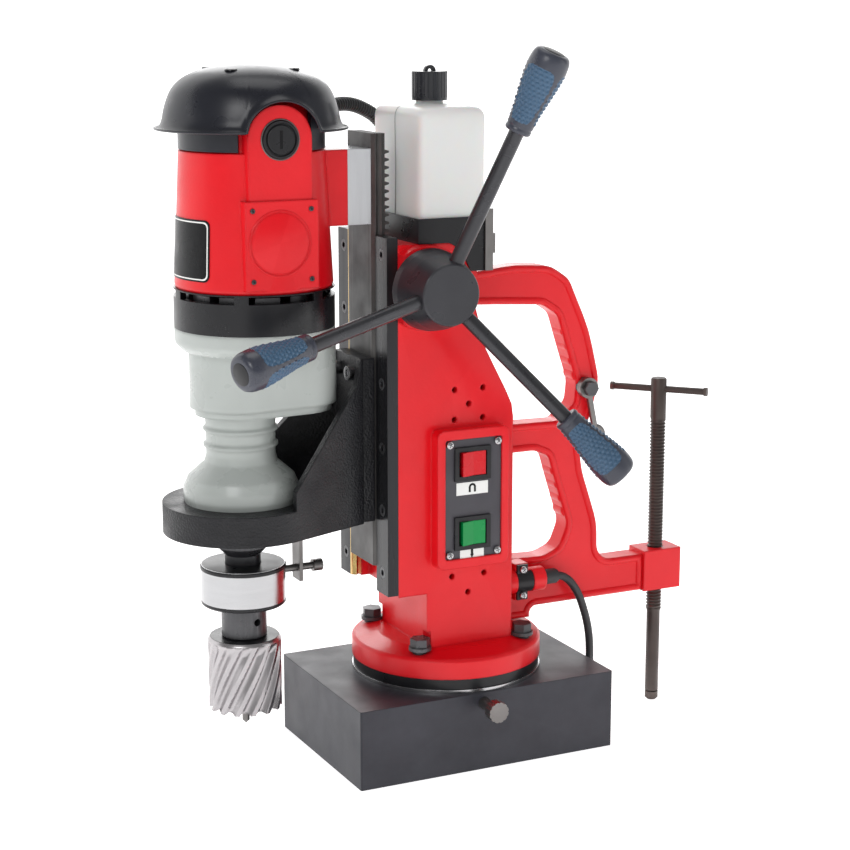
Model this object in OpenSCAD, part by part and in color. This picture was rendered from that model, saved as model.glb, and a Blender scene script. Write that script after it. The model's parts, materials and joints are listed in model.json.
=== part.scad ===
// Magnetic drill press with a swivel base, a rack feed and a coolant tank.
// Frame: +Z up, X along the machine (drill at -X, clamp arm at +X), the
// operator's side at -Y. The origin is the centre of the magnet's pole face.

/* [Magnet] */
// Length of the magnet block along the machine
magnet_l = 236; // [220:1:250]
// Width of the magnet block
magnet_w = 166; // [164:1:180]
// Height of the magnet block
magnet_h = 67; // [66:1:72]

/* [Drill] */
// Distance of the spindle ahead of the swivel axis
spindle_reach = 185; // [184:1:190]
// Cutter diameter
cutter_d = 60; // [40:1:64]
// Length of the cutter below the arbor
cutter_l = 61; // [50:1:62]
// Radius of the motor at its lower end
motor_r = 63; // [61:1:63]

/* [Feed] */
// Module of the rack and pinion
feed_module = 2; // [2:2]
// Teeth of the feed pinion
feed_teeth = 20; // [20:20]
// Length of the slide
slide_l = 355; // [340:1:360]
// Reach of a crank arm from the hub's axis
crank_reach = 207; // [195:1:210]

/* [Column] */
// Width of the column
column_w = 96; // [96:1:100]
// Height of the column's top above the pole face
column_top = 438; // [438:1:440]

/* [Cord] */
// Diameter of the mains cord
cord_d = 7; // [6.5:0.5:7]

/* [Hidden] */
$fn = 64;
run = 0.05;                       // radial clearance of a running fit
magnet_x = magnet_l / 2;
magnet_y = magnet_w / 2;

// Swivel base
recess_r = 40;
recess_z = magnet_h - 17;
base_ring_t = 3;
turntable_z = magnet_h + base_ring_t + 0.1;
flange_z = magnet_h + 12;
flange_r = 81;
flange_t = 17;
bolt_ring_r = 68;
lock_x = -6;
lock_z = magnet_h - 9;
lock_r = 5;

// Column and guides
half_w = column_w / 2;
neck_z = 147;
column_x0 = -67.5;                // front face that carries the guides
column_x1 = 38;                   // rear face
neck_x0 = -41.6;
channel_x = -60;
channel_w = 54;
guide_z0 = 149;
guide_z1 = 444;
guide_x0 = -77;
slide_gap = 0.1;

// Slide, rack and pinion
slide_x0 = -79;
slide_x1 = -68.5;
slide_w = 51;
slide_z0 = 170;
slide_z1 = slide_z0 + slide_l;
rack_y0 = -25.5;
rack_y1 = -6;
pitch_r = feed_module * feed_teeth / 2;
rack_pitch = PI * feed_module;
pinion_x = -46;
pinion_z = 403.5;
rack_x = pinion_x - pitch_r;      // pitch line
boss_y = -60;

// Crank
crank_y = -84;
crank_cone = 17.6;
crank_phase = 71.5;
rod_r = 6;
grip_l = 67;

// Panel
panel_x = -4.5;
panel_z = 227.5;
panel_w = 52;
panel_h = 101;
panel_y = -60;                    // front of the raised frame
rocker_x = panel_x - 1;
rocker_z = [panel_z + 29.5, panel_z - 29];
rocker_tilt = 8;

// Drill head
spindle_x = -spindle_reach;
motor_x = -171;
lay_x = -140;
motor_z0 = 407;
motor_z1 = 514;
ring_z0 = 375;
lip_z0 = 357;
gearbox_z0 = 305;
bell_z0 = 212;
bracket_z0 = 209;
bracket_z1 = 233.5;
bracket_top = 345;
bracket_r = 64;
back_x = -91;
collar_z0 = 147;
collar_z1 = 180;
cutter_z1 = 119;
cutter_z0 = cutter_z1 - cutter_l;
shank_r = 9.525;
pilot_z0 = 42;
pilot_z1 = 152;
spring_z1 = 250;
brush_z = 525;
cap_rim_z = 530.5;

// Gear train, module 1: armature to layshaft, layshaft to spindle
teeth_armature = 14;
teeth_lay_in = 48;
teeth_lay_out = 24;
teeth_spindle = 66;
stage1_z = 359;
stage2_z = 341;

// Tank
tank_x0 = -48;
tank_x1 = 14;
tank_y0 = -47.5;
tank_y1 = 45;
tank_z0 = 441;
tank_z1 = 546;
tank_cap_x = -17;
tank_cap_y = -2;

// Rear handle and clamp
handle_t = 18;
clamp_x = 211;
clamp_r = 7;
tip_r = 6;
clamp_block_z = [109, 146];
bar_z = 290.5;
bar_turn = -47;
bar_l = 88;
hook_x = 129;
hook_z = 301;

// Cord
inlet_y = -21;
inlet_z = 138.5;
sleeve_x1 = 97;
saddle_screw_z = [-11.4, 11.4];
coil_c = [40, 146];
coil_r = 40;                      // middle of the turns
coil_half = 1.5 * cord_d;
cord_route = [
    [97, -21, 138.5], [104, -21, 136.5], [111, -21, 131], [117.5, -21, 122],
    [122, -21, 112.5], [125.5, -21, 102.5], [128.5, -20.5, 93], [131, -20, 82],
    [132.8, -19, 70], [134, -17.5, 57], [136, -14, 43], [138, -8, 30],
    [139.5, 1, 19], [140.5, 13, 10], [140.5, 27, 5], [139, 42, 4],
    [135, 57, 4], [130, 72, 4], [121.5, 86.5, 4], [107, 95.5, 4],
    [88, 101, 4], [77, 103.8, 4]
];
conduit_d = 12;
conduit_yaw = 22.6;
conduit_route = [
    [-122, 22, 540], [-110, 27, 540], [-100, 31.2, 541], [-89, 36, 543.5],
    [-77, 42, 545], [-64, 48, 544], [-51, 53.5, 540], [-38, 58, 533],
    [-28, 61, 522], [-22, 63, 508], [-19, 64, 492], [-19, 64, 474],
    [-19, 64, 458], [-19, 64, 444], [-19, 62, 432], [-19, 57, 424],
    [-19, 50, 421], [-19, 44, 420.5]
];

// ---------- shared shapes ----------

// A cylinder along +Y that starts at y0
module ycyl(r, y0, y1) {
    translate([0, y0, 0]) rotate([-90, 0, 0]) cylinder(r = r, h = y1 - y0);
}

// A cylinder along +X that starts at x0
module xcyl(r, x0, x1) {
    translate([x0, 0, 0]) rotate([0, 90, 0]) cylinder(r = r, h = x1 - x0);
}

// A cylinder between two heights
module zcyl(r, z0, z1) {
    translate([0, 0, z0]) cylinder(r = r, h = z1 - z0);
}

// A box given by two opposite corners
module span(a, b) {
    translate(a) cube(b - a);
}

// An X-Z outline pulled along Y, centred on Y = 0
module side_plate(points, t) {
    rotate([90, 0, 0]) linear_extrude(height = t, center = true) polygon(points);
}

// A rectangle with round corners, centred
module round_rect(w, h, r) {
    square([w - 2 * r, h], center = true);
    square([w, h - 2 * r], center = true);
    for (x = [-1, 1], y = [-1, 1])
        translate([x * (w / 2 - r), y * (h / 2 - r)]) circle(r = r);
}

// Corners [x, y, radius] turned into an outline with round corners
function unit(v) = v / norm(v);
function corner(a, b, c, r) =
    let (u = unit([a[0] - b[0], a[1] - b[1]]), v = unit([c[0] - b[0], c[1] - b[1]]),
         half = acos(max(-1, min(1, u * v))) / 2,
         d = r / tan(half), p = [b[0], b[1]] + u * d,
         m = [b[0], b[1]] + unit(u + v) * (r / sin(half)),
         a0 = atan2(p[1] - m[1], p[0] - m[0]),
         sweep = 180 - 2 * half, turn = sign(u[0] * v[1] - u[1] * v[0]),
         n = max(2, ceil(sweep / 12)))
    [for (i = [0 : n]) m + r * [cos(a0 - turn * sweep * i / n), sin(a0 - turn * sweep * i / n)]];
function rounded(pts) = [
    for (i = [0 : len(pts) - 1])
        let (n = len(pts), a = pts[(i + n - 1) % n], b = pts[i], c = pts[(i + 1) % n])
        each b[2] > 0 ? corner(a, b, c, b[2]) : [[b[0], b[1]]]
];

// Two circles and flat flanks between them, along X; the flanks cut the circles
// at a slight angle, which keeps every corner a clean one
module belt(x0, r0, x1, r1) {
    lean = acos((r0 - r1) / abs(x1 - x0));
    q0 = r0 - 0.2;
    q1 = r1 - 0.2;
    translate([x0, 0]) circle(r = r0);
    translate([x1, 0]) circle(r = r1);
    polygon([
        [x0 + q0 * cos(lean), q0 * sin(lean)], [x1 + q1 * cos(lean), q1 * sin(lean)],
        [x1 + q1 * cos(lean), -q1 * sin(lean)], [x0 + q0 * cos(lean), -q0 * sin(lean)]
    ]);
}

// A spur gear outline with slim teeth; `turn` is in teeth
module gear(teeth, m, turn = 0) {
    step = 360 / teeth;
    tip = m * teeth / 2 + 0.8 * m;
    root = m * teeth / 2 - 1.15 * m;
    polygon([
        for (i = [0 : teeth - 1], p = [[root, -0.30], [tip, -0.12], [tip, 0.12], [root, 0.30]])
            p[0] * [cos((i + turn + p[1]) * step), sin((i + turn + p[1]) * step)]
    ]);
}

// A hexagon bolt head with its axis along Z and its underside at z = 0
module hex_head(r, h) {
    cylinder(r = r, h = h, $fn = 6);
}

// A smooth tube swept along a route of points
function along(p, i) = unit(p[min(i + 1, len(p) - 1)] - p[max(i - 1, 0)]);
function across(t) = unit(cross(t, abs(t[2]) > 0.9 ? [0, 1, 0] : [0, 0, 1]));
function ring_points(c, t, r, n) =
    let (u = across(t), w = cross(t, u))
    [for (k = [0 : n - 1]) c + r * (cos(360 * k / n) * u + sin(360 * k / n) * w)];
// side vectors carried along the route, so the tube never twists
function carried(p, i) = i == 0 ? across(along(p, 0))
    : let (last = carried(p, i - 1), t = along(p, i)) unit(last - (last * t) * t);
module tube(p, r, n) {
    sides = [for (i = [0 : len(p) - 1]) carried(p, i)];
    pts = [
        for (i = [0 : len(p) - 1], k = [0 : n - 1])
            let (t = along(p, i), u = sides[i], w = cross(t, u))
            p[i] + r * (cos(360 * k / n) * u + sin(360 * k / n) * w)
    ];
    last = (len(p) - 1) * n;
    walls = [
        for (i = [0 : len(p) - 2], k = [0 : n - 1])
            let (a = i * n + k, b = i * n + (k + 1) % n)
            each [[a, b, a + n], [b, b + n, a + n]]
    ];
    caps = [[for (k = [0 : n - 1]) n - 1 - k], [for (k = [0 : n - 1]) last + k]];
    polyhedron(points = pts, faces = concat(walls, caps));
}

// ---------- magnet base ----------

module magnet_housing() color("#3a3d45") difference() {
    linear_extrude(height = magnet_h) polygon(rounded([
        [-magnet_x, -magnet_y, 1.5], [magnet_x, -magnet_y, 1.5],
        [magnet_x, magnet_y, 1.5], [-magnet_x, magnet_y, 1.5]
    ]));
    span([-98, -63, -1], [98, 63, 44]);
    zcyl_at(0, 0, recess_r + run, recess_z, magnet_h + 1);
    translate([lock_x, 0, lock_z]) ycyl(lock_r + run, -magnet_y - 1, -recess_r + 3);
}
module zcyl_at(x, y, r, z0, z1) {
    translate([x, y, 0]) zcyl(r, z0, z1);
}

module magnet_core() color("#8d9094") span([-62, -27, 0], [62, 27, 44]);

module magnet_coil() color("#b0622c") {
    difference() {
        span([-96, -61, 8], [96, 61, 43]);
        span([-63, -28, 7], [63, 28, 44]);
    }
    // potting that closes the gap between the poles
    difference() {
        span([-98, -63, 1], [98, 63, 7]);
        span([-62, -27, 0], [62, 27, 8]);
    }
}

module base_ring() color("#b9bcc0") difference() {
    zcyl(flange_r, magnet_h, magnet_h + base_ring_t);
    zcyl(recess_r + 2, magnet_h - 1, magnet_h + base_ring_t + 1);
}

module lock_plug() color("#b08d3e") translate([lock_x, 0, lock_z])
    ycyl(lock_r - 1, -67, -37.4);

module lock_bolt() color("#6d6f72") translate([lock_x, 0, lock_z]) {
    ycyl(lock_r, -101, -67.1);
    difference() {
        ycyl(8.8, -110, -101);
        for (a = [0 : 30 : 330]) rotate([0, a, 0]) translate([9.2, 0, 0]) ycyl(1, -111, -100);
    }
}

// ---------- column ----------

module turntable() color("#1d1e21") difference() {
    union() {
        zcyl(flange_r - 1, turntable_z, flange_z);
        zcyl(recess_r, recess_z + 0.3, turntable_z);
    }
    // groove that the lock plug runs in
    difference() {
        zcyl(recess_r + 1, lock_z - lock_r, lock_z + lock_r);
        zcyl(recess_r - 3, lock_z - lock_r - 1, lock_z + lock_r + 1);
    }
    zcyl(12, recess_z, flange_z + 1);
    for (a = [45 : 90 : 315]) rotate([0, 0, a])
        zcyl_at(bolt_ring_r, 0, 5, turntable_z - 1, flange_z + 1);
}

module column_profile() polygon([
    [column_x0, neck_z], [column_x0, column_top], [-12, column_top], [4, 412], [2, 385],
    [12, 349], [23, 328], [31, 313], [36.5, 301], [column_x1, 290],
    [column_x1, flange_z + 1], [neck_x0, flange_z + 1], [neck_x0, neck_z]
]);

module column_casting() color("#c8161d") difference() {
    union() {
        rotate_extrude() polygon([
            [12, flange_z], [flange_r, flange_z], [flange_r, flange_z + flange_t - 2],
            [flange_r - 2, flange_z + flange_t], [60, flange_z + flange_t + 4],
            [12, flange_z + flange_t + 4]
        ]);
        rotate([90, 0, 0]) linear_extrude(height = column_w, center = true) column_profile();
        // boss around the crank shaft
        intersection() {
            translate([pinion_x, 0, pinion_z]) ycyl(34.4, boss_y, -half_w + 1);
            span([column_x0, boss_y - 1, 300], [100, 0, 500]);
        }
        // raised frame around the control panel
        translate([panel_x, panel_y, panel_z]) rotate([-90, 0, 0])
            linear_extrude(height = -half_w - panel_y + 1) round_rect(panel_w + 14, panel_h + 16, 6);
    }
    // channel for the slide and its rack
    span([column_x0 - 1, -channel_w / 2, neck_z - 1], [channel_x, channel_w / 2, column_top + 1]);
    // hollow for the electrics, with the panel's window and the cord's way in
    rotate([90, 0, 0]) linear_extrude(height = column_w - 14, center = true) polygon([
        [-34, 108], [31, 108], [31, 286], [18, 318], [0, 360], [-16, 368], [-34, 368]
    ]);
    span([panel_x - 20, panel_y - 1, panel_z - 44], [panel_x + 20, -30, panel_z + 44]);
    translate([panel_x, panel_y - 1, panel_z]) rotate([-90, 0, 0])
        linear_extrude(height = 5) round_rect(panel_w, panel_h, 2);
    translate([0, inlet_y, inlet_z]) xcyl(cord_d / 2 + 0.5, 25, column_x1 + 1);
    zcyl(12, flange_z - 1, 109);
    // crank shaft, its bushes and the pinion's pocket
    translate([pinion_x, 0, pinion_z]) {
        ycyl(13, boss_y - 1, -27);
        ycyl(23.5, -27, -5);
        ycyl(11, -6, 21);
        ycyl(13, 20, 44);
    }
    for (a = [45 : 90 : 315]) rotate([0, 0, a])
    {
        zcyl_at(bolt_ring_r, 0, 6.2, flange_z - 1, flange_z + flange_t + 8);
        zcyl_at(bolt_ring_r, 0, 9.9, flange_z + flange_t + 4, flange_z + flange_t + 18);
    }
    // cooling holes above and below the panel
    for (p = [[-13, 0], [13, 0], [0, -12.5], [-13, -25], [13, -25]])
        translate([-3.4 + p[0], 0, 317 + p[1]]) ycyl(2.5, -half_w - 1, -40);
    for (p = [[-15, 0], [15, 0], [0, -15]])
        translate([-3.4 + p[0], 0, 159 + p[1]]) ycyl(2.5, -half_w - 1, -40);
    // the conduit's way in
    translate([-19, 0, 420.5]) ycyl(7, 40, half_w + 1);
    // tapped holes for the guides, the handle and the tank bracket
    for (y = [-1, 1], z = guide_screw_z) translate([0, y * 37, z]) xcyl(2.6, column_x0 - 1, -55);
    for (p = handle_screws) translate([0, p[0], p[1]]) xcyl(2.6, -13, p[2] + 1);
    for (x = [-40, -18], y = [-30, 30]) zcyl_at(x, y, 2.1, column_top - 10, column_top + 1);
}
guide_screw_z = [167, 220, 272, 325, 378, 430];
// screws of the rear handle: [y, z, x of the column's face]
handle_screws = [[-15, 112, 38], [15, 112, 38], [-15, 262, 38], [15, 262, 38], [-15, 393, 3], [15, 393, 3]];

module guide_outline(gap) polygon([
    [guide_x0, slide_w / 2 + gap], [-76, slide_w / 2 + gap], [-73.5, slide_w / 2 - 2.5 + gap],
    [-71, slide_w / 2 + gap], [column_x0, slide_w / 2 + gap], [column_x0, half_w], [guide_x0, half_w]
]);

module guide_holes() for (z = guide_screw_z) translate([0, 37, z]) {
    xcyl(3.1, guide_x0 - 1, column_x0 + 1);
    xcyl(5.2, guide_x0 - 1, guide_x0 + 5);
}

module guide_plates() color("#6a6d72") {
    mirror([0, 1, 0]) difference() {
        translate([0, 0, guide_z0]) linear_extrude(height = guide_z1 - guide_z0)
            guide_outline(slide_gap);
        guide_holes();
    }
    difference() {
        translate([0, 0, guide_z0]) linear_extrude(height = guide_z1 - guide_z0) polygon([
            [guide_x0, 28], [column_x0, 28], [column_x0, half_w], [guide_x0, half_w]
        ]);
        guide_holes();
    }
}

module gib_strip() color("#b08d3e")
    translate([0, 0, guide_z0]) linear_extrude(height = guide_z1 - guide_z0) polygon([
        [guide_x0, slide_w / 2 + slide_gap], [-76, slide_w / 2 + slide_gap],
        [-73.5, slide_w / 2 - 2.5 + slide_gap], [-71, slide_w / 2 + slide_gap],
        [-68, slide_w / 2 + slide_gap], [-68, 28], [guide_x0, 28]
    ]);

module cap_screw_x(x, l, r, head_r, head_l) difference() {
    union() {
        xcyl(r, x, x + l);
        xcyl(head_r, x - head_l, x);
    }
    translate([x - head_l - 1, 0, 0]) rotate([0, 90, 0]) cylinder(r = head_r * 0.55, h = 3.5, $fn = 6);
}

module column_screws() color("#2a2b2e") {
    for (y = [-37, 37], z = guide_screw_z)
        translate([0, y, z]) cap_screw_x(guide_x0 + 5, 15, 2.5, 5, 5);
    for (p = handle_screws) translate([p[2] + 7, p[0], p[1]]) mirror([1, 0, 0])
        cap_screw_x(0, 18, 2.5, 5, 5);
}

module hex_bolts() color("#1b1c1f") {
    for (a = [45 : 90 : 315]) rotate([0, 0, a]) translate([bolt_ring_r, 0, 0]) {
        zcyl(6, flange_z + 1, flange_z + flange_t + 7);
        zcyl(5, flange_z - 8, flange_z + 1);
        difference() {
            zcyl(9.5, flange_z + flange_t + 4, flange_z + flange_t + 7);
            zcyl(6.1, flange_z + flange_t + 3, flange_z + flange_t + 8);
        }
        translate([0, 0, flange_z + flange_t + 7]) hex_head(8.4, 7);
    }
    // the eye hook's bolt and its washer
    translate([hook_x, 0, hook_z]) {
        ycyl(4, -18, handle_t / 2);
        ycyl(8.5, -11.5, -handle_t / 2);
        translate([0, -18, 0]) rotate([90, 0, 0]) hex_head(6.6, 5);
    }
}

// ---------- rear handle ----------

handle_outline = [
    [10, 406, 0], [60, 410.5, 80], [94, 408, 26], [112, 396, 18], [133, 350, 140],
    [143.5, 306, 30], [136, 276, 24], [124, 252, 24], [128, 226, 60], [144, 178, 60],
    [144.5, 143, 15], [192, 143, 0], [192, 110, 0], [77, 110, 7], [77, 100.2, 0],
    [45, 100.2, 0], [45, 274, 0], [103, 273, 8], [119, 287, 10], [121, 305, 24],
    [110, 338, 120], [101, 366, 12], [86, 375.5, 12], [40, 378.5, 60], [10, 380, 0]
];
grip_hole = [
    [45, 155.5, 4], [90, 153.5, 24], [106, 160, 14], [114, 180, 16], [101, 220, 60],
    [94, 243, 8], [80, 249, 14], [45, 249, 4]
];

module rear_handle() color("#c8161d") difference() {
    union() {
        difference() {
            side_plate(rounded(handle_outline), handle_t);
            side_plate(rounded(grip_hole), handle_t + 2);
        }
        // feet bolted to the column's rear
        span([column_x1, -22, 102.5], [45, 22, 277]);
        span([4, -22, 378], [10, 22, 408]);
        span([192, -13, clamp_block_z[0]], [230, 13, clamp_block_z[1]]);
        translate([0, inlet_y, inlet_z]) xcyl(10.6, column_x1, 82);
        span([54, inlet_y - 5, inlet_z - 16], [66, -8, inlet_z + 16]);
    }
    translate([clamp_x, 0, 0]) zcyl(clamp_r + run, 100, 150);
    translate([0, inlet_y, inlet_z]) {
        xcyl(cord_d / 2 + 0.5, column_x1 - 1, 70);
        xcyl(6, 69.9, 83);
    }
    // seat for the cord saddle
    span([54, inlet_y - 12, inlet_z - 17], [70, inlet_y - 4, inlet_z + 17]);
    for (p = handle_screws) translate([0, p[0], p[1]]) xcyl(3.1, 3, p[2] + 8);
    translate([hook_x, 0, hook_z]) ycyl(4, -handle_t, handle_t);
    for (z = saddle_screw_z) translate([60, 0, inlet_z + z]) ycyl(1.6, inlet_y - 5, -10);
}

// ---------- control panel ----------

module panel_plate() color("#4b4d52") difference() {
    translate([panel_x, panel_y + 1.5, panel_z]) rotate([-90, 0, 0])
        linear_extrude(height = 2.5) round_rect(panel_w - 0.6, panel_h - 0.6, 2);
    for (z = rocker_z)
        span([rocker_x - 14.1, panel_y - 1, z - 11.6], [rocker_x + 14.1, -50, z + 11.6]);
    for (x = [-1, 1], z = [-1, 1])
        translate([panel_x + x * 22, 0, panel_z + z * 46.5]) ycyl(1.7, panel_y, -50);
}

module round_screw(head_y, l) {
    ycyl(1.6, head_y, head_y + l);
    ycyl(3.2, head_y - 2, head_y);
}

module panel_screws() color("#d5d7da") {
    for (x = [-1, 1], z = [-1, 1])
        translate([panel_x + x * 22, 0, panel_z + z * 46.5]) round_screw(panel_y + 1.5, 2.5);
    for (z = saddle_screw_z) translate([60, 0, inlet_z + z]) round_screw(inlet_y - 6.5, 14);
}

module switch_bodies() color("#26272a") for (z = rocker_z) difference() {
    union() {
        span([rocker_x - 16.5, panel_y - 0.7, z - 14], [rocker_x + 16.5, panel_y + 1.5, z + 14]);
        span([rocker_x - 14, panel_y + 1.5, z - 11.5], [rocker_x + 14, -42, z + 11.5]);
    }
    span([rocker_x - 12.7, panel_y - 2, z - 10.3], [rocker_x + 12.7, -47, z + 10.3]);
}

// A rocker with its pivot on the Z axis of its own frame
module rocker() rotate([0, 0, rocker_tilt]) translate([0, 0, -10])
    linear_extrude(height = 20) polygon([
        [-11.3, -4.8], [0, -3.4], [11.3, -4.8], [9, 4], [-9, 4]
    ]);
rocker_y = panel_y + 3;
module magnet_rocker() color("#e01b22") translate([rocker_x, rocker_y, rocker_z[0]]) rocker();
module motor_rocker() color("#12a04a") translate([rocker_x, rocker_y, rocker_z[1]]) rocker();

module control_board() color("#2f6b3c") {
    span([-28, 33, 190], [22, 35, 280]);
    span([-20, 20, 200], [4, 33, 232]);
    span([-10, 24, 244], [14, 33, 268]);
    for (x = [-24, 18], z = [195, 275]) translate([x, 0, z]) ycyl(3, 35, 41);
}

// ---------- coolant tank ----------

module tank_bracket() color("#2b2c30") {
    difference() {
        union() {
            span([tank_x0 - 2, -50, column_top], [tank_x1 + 2, 48, column_top + 2]);
            span([tank_x0 - 2, -50, column_top + 2], [tank_x0, 48, 458]);
            span([tank_x1, -50, column_top + 2], [tank_x1 + 2, 48, 458]);
            span([tank_x0, 46, column_top + 2], [tank_x1, 48, 458]);
        }
        for (x = [-40, -18], y = [-30, 30]) zcyl_at(x, y, 2.1, column_top - 1, column_top + 3);
    }
    translate([0, -49, 0]) side_plate([
        [tank_x0 - 2, 440], [-26, 440], [-12, 432], [-3, 414], [tank_x1 + 2, 414],
        [tank_x1 + 2, 458], [tank_x0 - 2, 458]
    ], 2);
}

module tank() color("#f2f1ec") difference() {
    union() {
        span([tank_x0 + 0.3, tank_y0, tank_z0], [tank_x1 - 0.3, tank_y1, tank_z1]);
        zcyl_at(tank_cap_x, tank_cap_y, 11, tank_z1, tank_z1 + 20);
    }
    span([tank_x0 + 3, tank_y0 + 3, tank_z0 + 3], [tank_x1 - 3, tank_y1 - 3, tank_z1 - 3]);
    zcyl_at(tank_cap_x, tank_cap_y, 8.5, tank_z1 - 4, tank_z1 + 21);
}

module tank_strap() color("#c4c7ca") {
    span([9, -52, 414], [tank_x1 + 2, -50, 464]);
    span([tank_x1 + 2, -52, 428], [tank_x1 + 4, 52, 444]);
    span([9, 50, 414], [tank_x1 + 2, 52, 464]);
    span([9, 48, 430], [tank_x1 + 2, 50, 442]);
}

module cap_seal() color("#1c1c1e")
    zcyl_at(tank_cap_x, tank_cap_y, 11.2, tank_z1 + 20.1, tank_z1 + 22);

module tank_cap() color("#3b3c40") translate([tank_cap_x, tank_cap_y, 0]) {
    difference() {
        zcyl(14.5, tank_z1 + 3, tank_z1 + 26);
        zcyl(11.4, tank_z1 + 2, tank_z1 + 22.1);
        for (a = [0 : 15 : 345]) rotate([0, 0, a])
            translate([14.9, 0, 0]) zcyl(0.9, tank_z1 + 5, tank_z1 + 27);
    }
    difference() {
        ycyl_z(5, 3);
        ycyl_z(2.2, 4);
    }
}
// loop on top of the tank's cap
module ycyl_z(r, t) intersection() {
    translate([0, 0, tank_z1 + 26]) ycyl(r, -t / 2, t / 2);
    span([-10, -10, tank_z1 + 26], [10, 10, tank_z1 + 40]);
}

// ---------- cord ----------

module cord_saddle() color("#222326") difference() {
    union() {
        span([55, inlet_y - 6.5, inlet_z - 15.5], [65, inlet_y - 4, inlet_z + 15.5]);
        intersection() {
            translate([0, inlet_y, inlet_z]) xcyl(10.2, 54.5, 69.5);
            span([54, inlet_y - 12, inlet_z - 12], [70, inlet_y - 4, inlet_z + 12]);
        }
    }
    for (z = saddle_screw_z) translate([60, 0, inlet_z + z]) ycyl(1.7, -32, -20);
    for (z = saddle_screw_z) translate([60, 0, inlet_z + z]) ycyl(3.4, -36, inlet_y - 6.5);
    translate([0, inlet_y, inlet_z]) xcyl(cord_d / 2 + 0.5, 54, 70);
}

module cord_sleeve() color("#222326") translate([0, inlet_y, inlet_z]) difference() {
    union() {
        xcyl(5.95, 70, 84);
        xcyl(6.6, 82, 95);
        xcyl(5.6, 95, sleeve_x1);
    }
    xcyl(cord_d / 2, 69, sleeve_x1 + 1);
}

module cord() color("#2a2a2d") tube(cord_route, cord_d / 2, 8);

module cord_coil() color("#2a2a2d") translate([coil_c[0], coil_c[1], 0]) difference() {
    rotate_extrude() translate([coil_r - coil_half, 0]) square([2 * coil_half, 2 * coil_half]);
    rotate([0, 0, -130]) span([20, -1, -1], [70, 1, 40]);
}

plug_at = [-50, 101];
module plug() color("#222326") translate([plug_at[0], plug_at[1], 0]) {
    translate([0, 0, 18]) ycyl(17.5, 0, 40);
    translate([0, 0, 18]) ycyl(8, -14, 0);
    for (x = [-9.5, 9.5]) translate([x, 0, 18]) ycyl(2.4, 40, 59);
}

// ---------- crank ----------

module pinion_shaft() color("#9a9da1") translate([pinion_x, 0, pinion_z]) {
    ycyl(10, -96, 42);
    translate([0, -7, 0]) rotate([90, 0, 0]) linear_extrude(height = 18)
        gear(feed_teeth, feed_module, 0.5);
}

module shaft_bushes() color("#b08d3e") translate([pinion_x, 0, pinion_z]) {
    difference() {
        ycyl(12.98, boss_y, -27.5);
        ycyl(10 + run, boss_y - 1, -26);
    }
    difference() {
        ycyl(12.98, 20.2, 43.9);
        ycyl(10 + run, 19, 45);
    }
}

module crank_arm(k) translate([pinion_x, crank_y, pinion_z])
    rotate([0, -crank_phase - 120 * k, 0]) rotate([0, 0, -crank_cone]) children();

module crank_hub() color("#3c3e43") difference() {
    translate([pinion_x, 0, pinion_z]) rotate([90, 0, 0]) rotate_extrude() polygon([
        [10, 60.4], [31, 60.4], [33, 62.5], [32.5, 70], [30, 82], [26, 95],
        [24.5, 100], [23.5, 101], [0, 101], [0, 96], [10, 96]
    ]);
    for (k = [0 : 2]) crank_arm(k) xcyl(rod_r + 0.01, 14, 50);
}

module crank_rods() color("#2e2f33") for (k = [0 : 2]) crank_arm(k) xcyl(rod_r, 14, crank_reach - 20);

module crank_grips() color("#46505e") for (k = [0 : 2]) crank_arm(k) difference() {
    translate([crank_reach - grip_l, 0, 0]) rotate([0, 90, 0]) rotate_extrude() polygon([
        [0, 0], [9.4, 0], [10.4, 1.5], [10.4, 10], [11.2, 18], [13, 30], [14.8, 43],
        [15.6, 53], [15.2, 60], [13, 65.5], [11, 67], [0, 67]
    ]);
    xcyl(rod_r + 0.01, crank_reach - grip_l - 1, crank_reach - 20);
}

// ---------- eye hook and clamp ----------

module eye_hook() color("#4a4a46") difference() {
    union() {
        translate([hook_x, 0, hook_z]) ycyl(9, -17.7, -11.8);
        translate([hook_x, -14.75, hook_z]) hook_rod();
    }
    translate([hook_x, 0, hook_z]) ycyl(4.1, -20, -10);
}
// rod and closed eye that hang from the hook's bolt
module hook_rod() {
    rotate([0, -12, 0]) zcyl(2.8, -38, -6);
    translate([7.9, 0, -43]) rotate([90, 0, 0]) rotate_extrude() translate([7.5, 0]) circle(r = 2.8);
}

module clamp_foot() color("#4a4340") translate([clamp_x, 0, 0]) difference() {
    union() {
        zcyl(tip_r, 3, 9);
        zcyl(tip_r - 1.5, 1.5, 3);
    }
    zcyl(2.5 + run, 4, 10);
}

module clamp_screw() color("#4a4340") translate([clamp_x, 0, 0]) difference() {
    union() {
        zcyl(2.5, 4.2, 10);
        zcyl(tip_r, 9.1, 86);
        zcyl(clamp_r, 86, 300);
        zcyl(clamp_r - 1, 300, 301);
    }
    translate([0, 0, bar_z]) rotate([0, 0, bar_turn]) xcyl(3 + run, -10, 10);
}

module tommy_bar() color("#4a4340") translate([clamp_x, 0, bar_z]) rotate([0, 0, bar_turn]) {
    xcyl(3, -bar_l / 2, bar_l / 2);
    for (s = [-1, 1]) translate([s * (bar_l / 2 - 1.5), 0, 0]) xcyl(3.8, -1.5, 1.5);
}

// ---------- carriage ----------

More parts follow.
